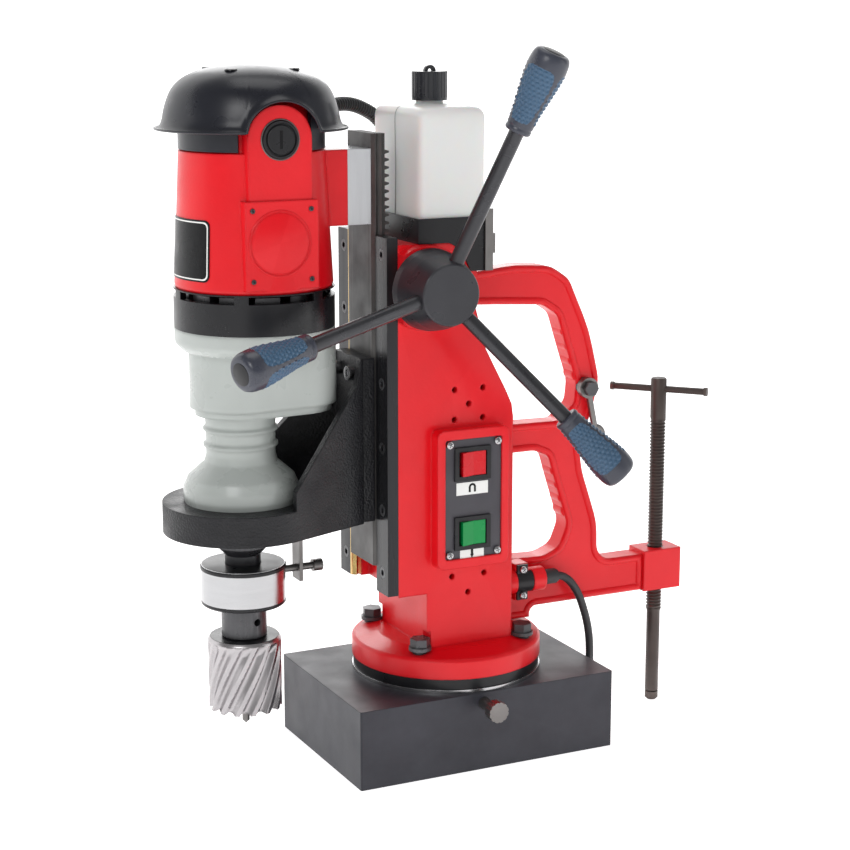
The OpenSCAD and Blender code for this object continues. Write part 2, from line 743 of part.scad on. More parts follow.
module slide() color("#55534f") difference() {
    translate([0, 0, slide_z0]) linear_extrude(height = slide_l) polygon([
        for (s = [-1, 1]) each [for (p = s < 0
            ? [[-79, 22.5], [-76.5, 25.5], [-76, 25.5], [-73.5, 23], [-71, 25.5], [slide_x1, 25.5]]
            : [[slide_x1, 25.5], [-71, 25.5], [-73.5, 23], [-76, 25.5], [-76.5, 25.5], [-79, 22.5]])
            [p[0], s * p[1]]]
    ]);
    // seat for the rack
    span([-70.8, rack_y0 - 1, slide_z0 - 1], [slide_x1 + 1, rack_y1, slide_z1 + 1]);
    for (p = bracket_screw_at) translate([0, p[0], p[1]]) xcyl(3.1, slide_x0 - 1, slide_x0 + 7);
    for (z = [465, 501], y = [-14, 14]) translate([0, y, z]) xcyl(2.6, slide_x0 - 1, slide_x0 + 7);
}
// screws of the drill bracket: [y, z]
bracket_screw_at = [[-15, 250], [15, 250], [-15, 332], [15, 332]];

module feed_rack() color("#8b8a86") {
    teeth = floor(slide_l / rack_pitch);
    first = pinion_z - rack_pitch * ceil((pinion_z - slide_z0) / rack_pitch - 1);
    root = rack_x - 2.1;
    tip = rack_x + 1.6;
    translate([0, rack_y1, 0]) rotate([90, 0, 0])
        linear_extrude(height = rack_y1 - rack_y0) polygon(concat(
            [[-70.8, slide_z1], [-70.8, slide_z0], [root, slide_z0]],
            [for (i = [0 : teeth - 2], p = [[root, -1.75], [tip, -0.7], [tip, 0.7], [root, 1.75]])
                [p[0], first + i * rack_pitch + p[1]]],
            [[root, slide_z1]]
        ));
}

bracket_back = 27;
// where the flat flanks of the bracket leave its round nose
flank_angle = atan2(bracket_back, slide_x0 - spindle_x)
    + acos(bracket_r / norm([slide_x0 - spindle_x, bracket_back]));
flank = [spindle_x + bracket_r * cos(flank_angle), bracket_r * sin(flank_angle)];

module drill_bracket() color("#1c1d20") difference() {
    union() {
        // floor with its round nose
        translate([0, 0, bracket_z0]) linear_extrude(height = bracket_z1 - bracket_z0) {
            translate([spindle_x, 0]) circle(r = bracket_r);
            polygon([flank, [slide_x0, bracket_back], [slide_x0, -bracket_back], [flank[0], -flank[1]]]);
        }
        span([back_x, -bracket_back - 4.7, bracket_z0], [slide_x0, bracket_back + 4.7, bracket_top]);
        intersection() {
            translate([0, 0, bracket_z0]) linear_extrude(height = bracket_top - bracket_z0)
                for (s = [-1, 1]) polygon([
                    [flank[0], s * flank[1]], [slide_x0, s * bracket_back],
                    [slide_x0, s * (bracket_back - 7.5)], [flank[0], s * (flank[1] - 7.5)]
                ]);
            side_plate([
                [-185, bracket_z0], [-185, 236], [-172, 236], [-98, 324], [-93, bracket_top],
                [slide_x0, bracket_top], [slide_x0, bracket_z0]
            ], 200);
        }
    }
    translate([spindle_x, 0, 0]) zcyl(46, bracket_z0 - 1, bracket_z1 + 1);
    // the back plate is no wider than the slide's front
    for (s = [-1, 1]) span_y(s, bracket_back, 60);
    for (p = bracket_screw_at) translate([0, p[0], p[1]]) xcyl(3.1, back_x - 1, slide_x0 + 1);
    for (y = [-5, 5]) zcyl_at(-137 + 9, y, 1.6, bracket_z0 - 1, bracket_z0 + 8);
}
module span_y(s, y0, y1) {
    a = s > 0 ? y0 : -y1;
    span([back_x - 0.01, a, 200], [slide_x0 + 1, a + y1 - y0, 400]);
}

module bracket_screws() color("#8c8f93") for (p = bracket_screw_at)
    translate([0, p[0], p[1]]) cap_screw_x(back_x, 18, 3, 6, 7);

module spacer_block() color("#c9ccce") difference() {
    span([-99.3, -23, 453], [slide_x0, 23, 513]);
    for (z = [465, 501], y = [-14, 14]) translate([0, y, z]) xcyl(2.6, -100, slide_x0 + 1);
}

module motor_housing() color("#d0161d") difference() {
    union() {
        translate([motor_x, 0, 0]) rotate_extrude() polygon([
            [0, motor_z0], [motor_r - 1, motor_z0], [motor_r, motor_z0 + 3],
            [57.5, motor_z1], [54, motor_z1 + 1], [53, 540], [48, 552], [0, 552]
        ]);
        span([-125, -23, 453], [-99.3, 23, 513]);
        // flat side pads and the bosses of the brush holders
        for (s = [0, 1]) translate([motor_x, 0, 0]) mirror([0, s, 0]) {
            span([-30, -62, 411], [30, -30, 479]);
            intersection() {
                translate([0, 0, brush_z]) ycyl(26, -60, -30);
                span([-30, -61, 490], [30, 0, 552]);
            }
            span([-26, -60, 479], [26, -30, brush_z]);
        }
    }
    // bore for the stator, the seat of the top bearing and the brush holders
    translate([motor_x, 0, 0]) {
        zcyl(52, motor_z0 - 1, 536);
        zcyl(13, 535, 546);
        for (s = [0, 1]) mirror([0, s, 0]) {
            translate([0, 0, brush_z]) ycyl(14.8, -63, -45);
            for (x = [-24, 24], z = [418, 472]) translate([x, 0, z]) ycyl(2, -63, -57);
        }
    }
    for (z = [465, 501], y = [-14, 14]) translate([0, y, z]) xcyl(2.6, -112, -99);
    conduit_way(conduit_d / 2 + 0.3);
}

// straight way of the conduit out of the motor
module conduit_way(r) translate(conduit_route[0]) rotate([0, 0, conduit_yaw]) xcyl(r, -2, 40);

module fan_ring() color("#18191b") translate([motor_x, 0, 0]) difference() {
    union() {
        difference() {
            zcyl(64, ring_z0, motor_z0);
            zcyl(58, ring_z0 + 10, motor_z0 + 1);
        }
    }
    zcyl(11, ring_z0 - 1, ring_z0 + 11);
    zcyl_at(lay_x - motor_x, 0, 9, ring_z0 - 1, ring_z0 + 7);
    // air outlets below the motor's edge
    for (a = [0 : 60 : 300]) rotate([0, 0, a + 30]) intersection() {
        difference() {
            zcyl(66, motor_z0 - 7, motor_z0 - 1);
            zcyl(57, motor_z0 - 8, motor_z0);
        }
        span([0, -27, motor_z0 - 8], [70, 27, motor_z0]);
    }
}

module gear_housing() color("#b9bfba") difference() {
    union() {
        translate([motor_x, 0, 0]) rotate_extrude() polygon([
            [0, lip_z0], [58, lip_z0], [63, lip_z0 + 5], [64, lip_z0 + 8], [64, ring_z0], [0, ring_z0]
        ]);
        translate([0, 0, gearbox_z0 + 6]) linear_extrude(height = lip_z0 - gearbox_z0 - 6)
            belt(spindle_x, 40, lay_x, 36);
        translate([0, 0, gearbox_z0]) linear_extrude(height = 6) belt(spindle_x, 36, lay_x, 32);
        translate([spindle_x, 0, 0]) rotate_extrude() polygon([
            [0, bell_z0], [46, bell_z0], [46, 233.5], [47, 238], [46.5, 246], [43, 254],
            [35, 261], [29.5, 266], [28, 272], [28, 277.5], [30, 279], [30, 281], [28, 282.5],
            [28, 290.5], [30, 292], [30, 294], [28, 295.5], [29, gearbox_z0 + 1], [0, gearbox_z0 + 1]
        ]);
    }
    // hollow for the gears
    translate([0, 0, 320]) linear_extrude(height = ring_z0 - 319) belt(spindle_x, 36.2, lay_x, 26);
    translate([motor_x, 0, 0]) zcyl(58, lip_z0 + 7, ring_z0 + 1);
    // seats of the bearings and the way of the spindle
    translate([spindle_x, 0, 0]) {
        zcyl(22, 308, 321);
        zcyl(14, 230, 309);
        zcyl(22, bell_z0 - 1, 232);
    }
    translate([lay_x, 0, 0]) zcyl(11, 312, 321);
}

module rain_cap() color("#3a3c42") translate([motor_x, 0, 0]) difference() {
    union() {
        rotate_extrude() polygon([
            [0, 578], [30, 577], [44, 574.5], [56, 569], [64, 560], [68.5, 548], [70.5, 536],
            [72, 533], [75, 531.5], [75, 530.5], [70, 531.5], [67.8, 534], [65.8, 547], [61.6, 558],
            [54, 566], [43, 571.5], [30, 574], [0, 575]
        ]);
        // skirt against the motor and the posts that carry the dome
        difference() {
            zcyl(57.6, motor_z1 + 1.2, 564);
            zcyl(54.6, motor_z1, 565);
        }
        for (a = [45 : 90 : 315]) rotate([0, 0, a]) zcyl_at(36, 0, 5, 552, 574.5);
    }
    for (s = [0, 1]) mirror([0, s, 0]) {
        translate([0, 0, brush_z]) ycyl(29.5, -80, -45);
        span([-29.5, -80, 500], [29.5, -40, brush_z]);
    }
    for (a = [45 : 90 : 315]) rotate([0, 0, a]) zcyl_at(36, 0, 3.4, 573, 580);
    translate([-motor_x, 0, 0]) conduit_way(conduit_d / 2 + 2);
}

module brush_caps() color("#303136") translate([motor_x, 0, brush_z]) for (s = [0, 1])
    mirror([0, s, 0]) difference() {
        union() {
            ycyl(14.6, -62.5, -50);
            ycyl(6, -50, -30);
        }
        span([-1.2, -64, -9], [1.2, -60.5, 9]);
    }

module stator() color("#8a6f4a") translate([motor_x, 0, 0]) difference() {
    zcyl(51.9, 425, 500);
    zcyl(33, 424, 501);
}

module ball_bearing(r, bore, z0, z1) difference() {
    zcyl(r - 0.02, z0, z1);
    zcyl(bore + run, z0 - 1, z1 + 1);
}

module bearings() color("#c3c6c9") {
    translate([spindle_x, 0, 0]) {
        ball_bearing(22, 12, 308.5, 319.5);
        ball_bearing(22, 12, 218, 231.5);
    }
    translate([lay_x, 0, 0]) {
        ball_bearing(11, 5, 312.5, 319.5);
        ball_bearing(9, 5, ring_z0 + 0.5, ring_z0 + 6.5);
    }
    translate([motor_x, 0, 0]) {
        ball_bearing(11, 5, ring_z0 + 1, ring_z0 + 9);
        ball_bearing(13, 5, 536, 545);
    }
}

module coolant_ring() color("#c9cbcd") translate([spindle_x, 0, 0]) difference() {
    union() {
        zcyl(34.5, collar_z0 + 3, collar_z1 - 3.5);
        zcyl(33.5, collar_z0, collar_z0 + 3);
        zcyl(34, collar_z1 - 3.5, collar_z1);
    }
    zcyl(14.9, collar_z0 - 1, collar_z1 + 1);
    translate([0, 0, 170]) xcyl(3.05, 28, 40);
}

module ring_strap() color("#55575b") {
    difference() {
        span([-138.5, -8, 160], [-135.5, 8, bracket_z0]);
        translate([0, 0, 170]) xcyl(3.05, -140, -134);
    }
    difference() {
        span([-135.5, -8, bracket_z0 - 3], [-121, 8, bracket_z0]);
        for (y = [-5, 5]) zcyl_at(-128, y, 1.7, bracket_z0 - 4, bracket_z0 + 1);
    }
    for (y = [-5, 5]) translate([-128, y, 0]) {
        zcyl(1.6, bracket_z0 - 3, bracket_z0 + 7);
        zcyl(3, bracket_z0 - 5.5, bracket_z0 - 3);
    }
    translate([0, 0, 170]) {
        xcyl(3, -155, -124);
        xcyl(5, -124, -116);
    }
}

module conduit() color("#1b1c1e") tube(conduit_route, conduit_d / 2, 10);

// ---------- turning parts ----------

module armature() color("#9c7a4c") translate([motor_x, 0, 0]) {
    zcyl(5, stage1_z + 9, 544);
    zcyl(32, 426, 496);
    zcyl(16, 504, 530);
    translate([0, 0, stage1_z]) linear_extrude(height = 9) gear(teeth_armature, 1, 0.5);
    // cooling fan
    difference() {
        zcyl(55, 395, 404);
        for (a = [0 : 30 : 330]) rotate([0, 0, a]) span([20, 0, 398], [56, 9, 405]);
    }
}

module layshaft() color("#8f9297") translate([lay_x, 0, 0]) {
    zcyl(5, 313, ring_z0 + 6);
    translate([0, 0, stage1_z]) linear_extrude(height = 9) gear(teeth_lay_in, 1);
    translate([0, 0, stage2_z]) linear_extrude(height = 11) gear(teeth_lay_out, 1);
}

module spindle() color("#8f9297") translate([spindle_x, 0, 0]) difference() {
    union() {
        zcyl(12, 209, 354);
        translate([0, 0, stage2_z]) linear_extrude(height = 11) gear(teeth_spindle, 1, 0.5);
        zcyl(20, 208.5, 217.5);
    }
    zcyl(4.6, 200, 256);
}

module arbor() color("#232427") translate([spindle_x, 0, 0]) difference() {
    rotate_extrude() polygon([
        [0, 208.5], [21, 208.5], [21, 195], [14.5, 188], [14.5, collar_z0 - 1],
        [18.5, collar_z0 - 1.5], [18.5, 120], [17.5, cutter_z1], [0, cutter_z1]
    ]);
    zcyl(shank_r + 0.01, cutter_z1 - 1, 151);
    zcyl(4.6, 150, 210);
    // set screws that hold the shank
    for (a = [-75, 15]) rotate([0, 0, a]) translate([0, 0, 133]) xcyl(3, shank_r, 20);
}

module cutter() color("#cfd0d2") translate([spindle_x, 0, 0]) difference() {
    union() {
        zcyl(cutter_d / 2, cutter_z0, cutter_z1 - 0.2);
        zcyl(shank_r, cutter_z1 - 0.3, 150.8);
    }
    zcyl(cutter_d / 2 - 4.5, cutter_z0 - 1, cutter_z1 - 10);
    zcyl(3 + run, cutter_z0, 152);
    // gullets between the teeth
    for (a = [0 : 30 : 330]) rotate([0, 0, a])
        span([cutter_d / 2 - 6, -1.8, cutter_z0 - 1], [cutter_d / 2 + 1, 1.8, cutter_z0 + 4]);
}

module pilot_pin() color("#9b8f88") translate([spindle_x, 0, 0]) rotate_extrude() polygon([
    [0, pilot_z0], [3, pilot_z0 + 3], [3, pilot_z1 - 1], [4.4, pilot_z1 - 1], [4.4, pilot_z1], [0, pilot_z1]
]);

module pilot_spring() color("#a9acaf") translate([spindle_x, 0, 0]) difference() {
    zcyl(4.2, pilot_z1 + 0.1, spring_z1);
    zcyl(3.2, pilot_z1, spring_z1 + 1);
}

magnet_housing();
magnet_core();
magnet_coil();
base_ring();
lock_plug();
lock_bolt();
turntable();
column_casting();
guide_plates();
gib_strip();
column_screws();
hex_bolts();
rear_handle();
panel_plate();
panel_screws();
switch_bodies();
control_board();
magnet_rocker();
motor_rocker();
tank_bracket();
tank();
tank_strap();
cap_seal();
tank_cap();
cord_saddle();
cord_sleeve();
cord();
cord_coil();
plug();
pinion_shaft();
shaft_bushes();
crank_hub();
crank_rods();
crank_grips();
eye_hook();
clamp_foot();
clamp_screw();
tommy_bar();
slide();
feed_rack();
drill_bracket();
bracket_screws();
spacer_block();
motor_housing();
fan_ring();
gear_housing();
rain_cap();
brush_caps();
stator();
bearings();
coolant_ring();
ring_strap();
conduit();
armature();
layshaft();
spindle();
arbor();
cutter();
pilot_pin();
pilot_spring();
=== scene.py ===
import bpy, json, math
from mathutils import Vector, Matrix


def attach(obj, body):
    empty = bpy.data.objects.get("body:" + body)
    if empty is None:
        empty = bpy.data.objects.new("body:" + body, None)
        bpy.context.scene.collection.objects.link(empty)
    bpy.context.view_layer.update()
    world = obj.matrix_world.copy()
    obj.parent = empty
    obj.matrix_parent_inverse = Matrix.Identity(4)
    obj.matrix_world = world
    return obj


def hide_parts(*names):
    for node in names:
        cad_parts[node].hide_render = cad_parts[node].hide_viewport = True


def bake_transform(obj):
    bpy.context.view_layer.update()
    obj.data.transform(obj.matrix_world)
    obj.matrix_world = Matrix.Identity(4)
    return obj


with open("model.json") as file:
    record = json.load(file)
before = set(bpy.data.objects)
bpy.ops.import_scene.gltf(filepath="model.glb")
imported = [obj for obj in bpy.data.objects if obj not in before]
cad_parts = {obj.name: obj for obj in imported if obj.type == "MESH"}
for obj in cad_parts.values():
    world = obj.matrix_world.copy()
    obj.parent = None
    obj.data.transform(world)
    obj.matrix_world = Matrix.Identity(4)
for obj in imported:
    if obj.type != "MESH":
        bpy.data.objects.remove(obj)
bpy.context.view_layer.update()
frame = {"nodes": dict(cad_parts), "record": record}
MM = 0.001
rnd = math.radians

# Places shared by several pieces, in millimetres and degrees of the part's own frame.
MOTOR_X = -171.0                    # axis of the motor and its rain cap
BRUSH_Z = 525.0                     # height of the brush caps
BRUSH_Y = 60.0                      # face of the brush bosses
PAD_Y = 62.0                        # face of the motor's side pads
TOOL_X = -185.0                     # axis of the spindle, coolant ring and cutter
CLAMP_X = 211.0                     # axis of the clamp screw
CRANK_HUB = (-46.0, -84.0, 403.5)   # where the three arms meet
CRANK_PHASE = 71.5                  # angle of the first arm
CRANK_CONE = 17.6                   # how far the arms lean towards the user


# ------------------------------------------------------------------ camera
def add_camera():
    data = bpy.data.cameras.new("camera")
    data.lens = 84.7
    data.sensor_width = 36.0
    cam = bpy.data.objects.new("camera", data)
    bpy.context.scene.collection.objects.link(cam)
    az, el = rnd(26), rnd(12)
    target = Vector((-0.020, 0.0, 0.279))
    back = Vector((-math.sin(az) * math.cos(el), -math.cos(az) * math.cos(el), math.sin(el)))
    cam.location = target + 1.680 * back
    cam.rotation_euler = (target - cam.location).to_track_quat("-Z", "Y").to_euler()
    bpy.context.scene.camera = cam


add_camera()


# --------------------------------------------------------------- materials
def node(tree, kind, **values):
    n = tree.nodes.new(kind)
    for key, value in values.items():
        if key.startswith("p_"):
            setattr(n, key[2:], value)
        else:
            n.inputs[key.replace("_", " ")].default_value = value
    return n


def finish_mat(name, color, rough=0.4, metal=0.0, vary=0.10, vary_scale=18.0, rough_vary=0.12,
               bumps=(), bevel=0.0, edge_wear_and_sheen=None, coat=0.0, spec=0.5, speck=None,
               sss=0.0, stretch=(1, 1, 1), glow=0.0):
    """A procedural finish: clouded colour, uneven gloss, layered bumps, soft edges and an edge colour, which
    is wear on most finishes and a painted highlight on the red paint.
    """
    m = bpy.data.materials.new(name)
    m.use_nodes = True
    t = m.node_tree
    t.nodes.clear()
    out = t.nodes.new("ShaderNodeOutputMaterial")
    b = t.nodes.new("ShaderNodeBsdfPrincipled")
    t.links.new(b.outputs[0], out.inputs[0])
    b.inputs["Metallic"].default_value = metal
    b.inputs["Coat Weight"].default_value = coat
    b.inputs["Coat Roughness"].default_value = 0.12
    b.inputs["Specular IOR Level"].default_value = spec
    b.inputs["Subsurface Weight"].default_value = sss
    b.inputs["Subsurface Scale"].default_value = 0.01
    b.inputs["Emission Color"].default_value = (1, 1, 1, 1)
    b.inputs["Emission Strength"].default_value = glow
    coord = t.nodes.new("ShaderNodeTexCoord")
    mapping = node(t, "ShaderNodeMapping")
    mapping.inputs["Scale"].default_value = stretch
    t.links.new(coord.outputs["Object"], mapping.inputs["Vector"])
    cloud = node(t, "ShaderNodeTexNoise", Scale=vary_scale, Detail=5.0, Roughness=0.6)
    t.links.new(mapping.outputs[0], cloud.inputs["Vector"])
    ramp = t.nodes.new("ShaderNodeValToRGB")
    ramp.color_ramp.elements[0].position = 0.3
    ramp.color_ramp.elements[1].position = 0.72
    ramp.color_ramp.elements[0].color = tuple(c * (1 - vary) for c in color) + (1,)
    ramp.color_ramp.elements[1].color = tuple(min(1, c * (1 + vary)) for c in color) + (1,)
    t.links.new(cloud.outputs["Fac"], ramp.inputs[0])
    last = ramp.outputs[0]
    if speck:
        amount, size, tint = speck
        dots = node(t, "ShaderNodeTexVoronoi", Scale=size)
        t.links.new(mapping.outputs[0], dots.inputs["Vector"])
        lim = node(t, "ShaderNodeMapRange")
        lim.inputs["From Min"].default_value = 0.0
        lim.inputs["From Max"].default_value = 0.35
        lim.inputs["To Min"].default_value = amount
        lim.inputs["To Max"].default_value = 0.0
        t.links.new(dots.outputs["Distance"], lim.inputs["Value"])
        mix = t.nodes.new("ShaderNodeMix")
        mix.data_type = "RGBA"
        t.links.new(lim.outputs[0], mix.inputs[0])
        t.links.new(last, mix.inputs[6])
        mix.inputs[7].default_value = tuple(tint) + (1,)
        last = mix.outputs[2]
    # edge colour on convex edges: real wear on the steels and the magnet, a painted highlight on the red
    # paint
    if edge_wear_and_sheen:
        tint, strength = edge_wear_and_sheen
        geo = t.nodes.new("ShaderNodeNewGeometry")
        edge = node(t, "ShaderNodeMapRange")
        edge.inputs["From Min"].default_value = 0.53
        edge.inputs["From Max"].default_value = 0.62
        edge.inputs["To Max"].default_value = strength
        t.links.new(geo.outputs["Pointiness"], edge.inputs["Value"])
        broken = t.nodes.new("ShaderNodeMath")
        broken.operation = "MULTIPLY"
        t.links.new(edge.outputs[0], broken.inputs[0])
        t.links.new(cloud.outputs["Fac"], broken.inputs[1])
        mix = t.nodes.new("ShaderNodeMix")
        mix.data_type = "RGBA"
        t.links.new(broken.outputs[0], mix.inputs[0])
        t.links.new(last, mix.inputs[6])
        mix.inputs[7].default_value = tuple(tint) + (1,)
        last = mix.outputs[2]
    t.links.new(last, b.inputs["Base Color"])
    haze = node(t, "ShaderNodeTexNoise", Scale=vary_scale * 2.3, Detail=4.0)
    t.links.new(mapping.outputs[0], haze.inputs["Vector"])
    rr = node(t, "ShaderNodeMapRange")
    rr.inputs["From Min"].default_value = 0.3
    rr.inputs["From Max"].default_value = 0.7
    rr.inputs["To Min"].default_value = max(0.02, rough - rough_vary)
    rr.inputs["To Max"].default_value = min(1.0, rough + rough_vary)
    t.links.new(haze.outputs["Fac"], rr.inputs["Value"])
    t.links.new(rr.outputs[0], b.inputs["Roughness"])
    normal = None
    if bevel > 0:
        bv = t.nodes.new("ShaderNodeBevel")
        bv.samples = 4
        bv.inputs["Radius"].default_value = bevel * MM
        normal = bv.outputs[0]
    for kind, scale, strength, depth in bumps:
        if kind == "cells":
            tex = node(t, "ShaderNodeTexVoronoi", Scale=scale)
            tex.feature = "SMOOTH_F1"
            value = tex.outputs["Distance"]
        elif kind == "lines":
            tex = node(t, "ShaderNodeTexNoise", Scale=scale, Detail=2.0)
            value = tex.outputs["Fac"]
        else:
            tex = node(t, "ShaderNodeTexNoise", Scale=scale, Detail=3.0, Roughness=0.55)
            value = tex.outputs["Fac"]
        t.links.new(mapping.outputs[0], tex.inputs["Vector"])
        bump = node(t, "ShaderNodeBump", Strength=strength, Distance=depth * MM)
        t.links.new(value, bump.inputs["Height"])
        if normal is not None:
            t.links.new(normal, bump.inputs["Normal"])
        normal = bump.outputs[0]
    if normal is not None:
        t.links.new(normal, b.inputs["Normal"])
    return m


M = {}
# the red paint's edge colour is a brighter red: a painted highlight along its edges
M["red_paint"] = finish_mat("red_paint", (0.76, 0.003, 0.010), 0.34, vary=0.05, rough_vary=0.06,
                            bumps=[("noise", 420, 0.35, 0.35), ("noise", 1600, 0.15, 0.12)],
                            bevel=2.4, edge_wear_and_sheen=((0.90, 0.03, 0.04), 0.4), coat=0.12, spec=0.30)
M["magnet_paint"] = finish_mat("magnet_paint", (0.015, 0.015, 0.021), 0.42, vary=0.06, rough_vary=0.05,
                               bumps=[("noise", 700, 0.20, 0.15)], bevel=1.0,
                               edge_wear_and_sheen=((0.10, 0.10, 0.12), 0.6), spec=0.3)
M["black_paint"] = finish_mat("black_paint", (0.009, 0.009, 0.011), 0.30, vary=0.15, rough_vary=0.06,
                              spec=0.35,
                              bumps=[("noise", 900, 0.2, 0.12)], bevel=0.7)
M["crinkle_paint"] = finish_mat("crinkle_paint", (0.009, 0.009, 0.011), 0.42, vary=0.3, spec=0.35,
                                bumps=[("cells", 620, 0.75, 0.55), ("noise", 1500, 0.4, 0.25)],
                                bevel=1.6, speck=(0.25, 900, (0.06, 0.06, 0.07)))
M["grey_alloy"] = finish_mat("grey_alloy", (0.43, 0.46, 0.44), 0.33, vary=0.04,
                             bumps=[("noise", 520, 0.18, 0.15)], bevel=5.0, coat=0.25)
M["cap_paint"] = finish_mat("cap_paint", (0.011, 0.012, 0.018), 0.30, vary=0.08, rough_vary=0.05,
                            bumps=[("noise", 1100, 0.12, 0.08)], bevel=0.6, spec=0.4)
M["cap_plastic"] = finish_mat("cap_plastic", (0.022, 0.023, 0.028), 0.30, vary=0.15,
                              bumps=[("noise", 1300, 0.08, 0.05)], bevel=0.4)
M["black_plastic"] = finish_mat("black_plastic", (0.012, 0.012, 0.014), 0.38, vary=0.15, spec=0.35,
                                bumps=[("noise", 1500, 0.1, 0.05)], bevel=0.4)
M["panel_plastic"] = finish_mat("panel_plastic", (0.050, 0.047, 0.058), 0.45, vary=0.10,
                                bumps=[("noise", 2200, 0.18, 0.05)], bevel=0.4)
M["guide_steel"] = finish_mat("guide_steel", (0.022, 0.022, 0.025), 0.34, metal=0.35, vary=0.15,
                              spec=0.4,
                              bumps=[("lines", 300, 0.12, 0.05)], bevel=0.5, stretch=(1, 1, 0.06))
M["slide_steel"] = finish_mat("slide_steel", (0.018, 0.017, 0.018), 0.42, metal=0.3, vary=0.25,
                              spec=0.4,
                              bumps=[("noise", 600, 0.2, 0.12)], bevel=0.6,
                              edge_wear_and_sheen=((0.25, 0.24, 0.23), 0.6))
M["bright_steel"] = finish_mat("bright_steel", (0.47, 0.47, 0.48), 0.24, metal=1.0, vary=0.03,
                               rough_vary=0.03, bumps=[("lines", 160, 0.02, 0.01)], bevel=0.4,
                               stretch=(1, 1, 9))
M["dull_steel"] = finish_mat("dull_steel", (0.20, 0.19, 0.185), 0.38, metal=0.9, vary=0.2,
                             bumps=[("noise", 700, 0.15, 0.08)], bevel=0.4)
M["black_steel"] = finish_mat("black_steel", (0.030, 0.030, 0.034), 0.34, metal=0.35, vary=0.25,
                              bumps=[("noise", 1000, 0.12, 0.06)], bevel=0.5,
                              edge_wear_and_sheen=((0.30, 0.30, 0.31), 0.4))
M["rod_steel"] = finish_mat("rod_steel", (0.045, 0.045, 0.050), 0.30, metal=0.45, vary=0.2,
                            bumps=[("noise", 1200, 0.1, 0.04)], bevel=0.5)
M["brown_steel"] = finish_mat("brown_steel", (0.062, 0.047, 0.042), 0.40, metal=0.45, vary=0.25,
                              bumps=[("noise", 800, 0.2, 0.1)], bevel=0.4,
                              edge_wear_and_sheen=((0.28, 0.24, 0.22), 0.5))
M["dark_alloy"] = finish_mat("dark_alloy", (0.034, 0.034, 0.040), 0.36, metal=0.2, vary=0.12,
                             bumps=[("noise", 900, 0.18, 0.08)], bevel=1.2)
M["brass"] = finish_mat("brass", (0.62, 0.44, 0.18), 0.30, metal=1.0, vary=0.1, bevel=0.3,
                        bumps=[("noise", 900, 0.1, 0.04)])
M["bare_alloy"] = finish_mat("bare_alloy", (0.60, 0.61, 0.63), 0.36, metal=0.9, vary=0.06,
                             bumps=[("lines", 200, 0.14, 0.05)], bevel=0.8, stretch=(6, 6, 0.5))
M["pole_iron"] = finish_mat("pole_iron", (0.22, 0.225, 0.24), 0.38, metal=0.9, vary=0.15, bevel=0.4,
                            bumps=[("lines", 260, 0.2, 0.06)], stretch=(0.3, 8, 1))
M["coil_resin"] = finish_mat("coil_resin", (0.30, 0.10, 0.03), 0.5, vary=0.15, bevel=0.6,
                             bumps=[("noise", 500, 0.2, 0.1)])
M["winding"] = finish_mat("winding", (0.30, 0.16, 0.06), 0.45, metal=0.4, vary=0.2, bevel=0.5,
                          bumps=[("lines", 500, 0.4, 0.2)], stretch=(1, 1, 0.1))
M["board"] = finish_mat("board", (0.02, 0.14, 0.05), 0.45, vary=0.1, bevel=0.3,
                        bumps=[("noise", 900, 0.1, 0.05)])
M["red_plastic"] = finish_mat("red_plastic", (0.66, 0.002, 0.010), 0.25, vary=0.08, bevel=0.8,
                              spec=0.25,
                              bumps=[("noise", 700, 0.05, 0.03)], coat=0.12)
M["green_plastic"] = finish_mat("green_plastic", (0.0, 0.27, 0.06), 0.25, vary=0.08, bevel=0.8,
                              spec=0.25,
                                bumps=[("noise", 700, 0.05, 0.03)], coat=0.12)
M["tank_plastic"] = finish_mat("tank_plastic", (0.78, 0.78, 0.765), 0.34, vary=0.015,
                               vary_scale=14, rough_vary=0.05, bumps=[("noise", 90, 0.05, 0.12)],
                               sss=0.25, bevel=1.2)
# grey of the bottle's parting seam: painted shade along the seam line
M["seam_plastic"] = finish_mat("seam_plastic", (0.42, 0.42, 0.41), 0.5, vary=0.05,
                               bumps=[("noise", 900, 0.1, 0.04)])
M["rubber"] = finish_mat("rubber", (0.028, 0.028, 0.031), 0.48, vary=0.15,
                         bumps=[("noise", 1400, 0.15, 0.06)])
M["grip_rubber"] = finish_mat("grip_rubber", (0.042, 0.046, 0.064), 0.33, vary=0.12,
                              bumps=[("noise", 1500, 0.2, 0.06)])
M["hose_plastic"] = finish_mat("hose_plastic", (0.016, 0.016, 0.018), 0.38, vary=0.15,
                               bumps=[("noise", 900, 0.1, 0.05)])
M["cutter_steel"] = finish_mat("cutter_steel", (0.44, 0.42, 0.43), 0.30, metal=1.0, vary=0.08,
                               rough_vary=0.05, bumps=[("noise", 500, 0.06, 0.03)])
M["white_label"] = finish_mat("white_label", (0.86, 0.86, 0.84), 0.40, vary=0.03,
                              bumps=[("noise", 1500, 0.05, 0.03)])
M["plate_black"] = finish_mat("plate_black", (0.004, 0.004, 0.005), 0.30, vary=0.2, spec=0.2,
                              bumps=[("noise", 900, 0.05, 0.03)])
M["blue_rubber"] = finish_mat("blue_rubber", (0.045, 0.105, 0.185), 0.38, vary=0.12,
                              bumps=[("noise", 1500, 0.15, 0.05)])

SLOT_OF = {s["node"]: s["material_slot"] for s in frame["record"]["subparts"]}
NODE_FINISH = {"crank_rods": "rod_steel", "armature": "black_steel", "stator": "black_steel"}
for name, obj in frame["nodes"].items():
    mat = M[NODE_FINISH.get(name, SLOT_OF.get(name, "black_paint"))]
    if not obj.material_slots:
        obj.data.materials.append(mat)
    for slot in obj.material_slots:
        slot.material = mat


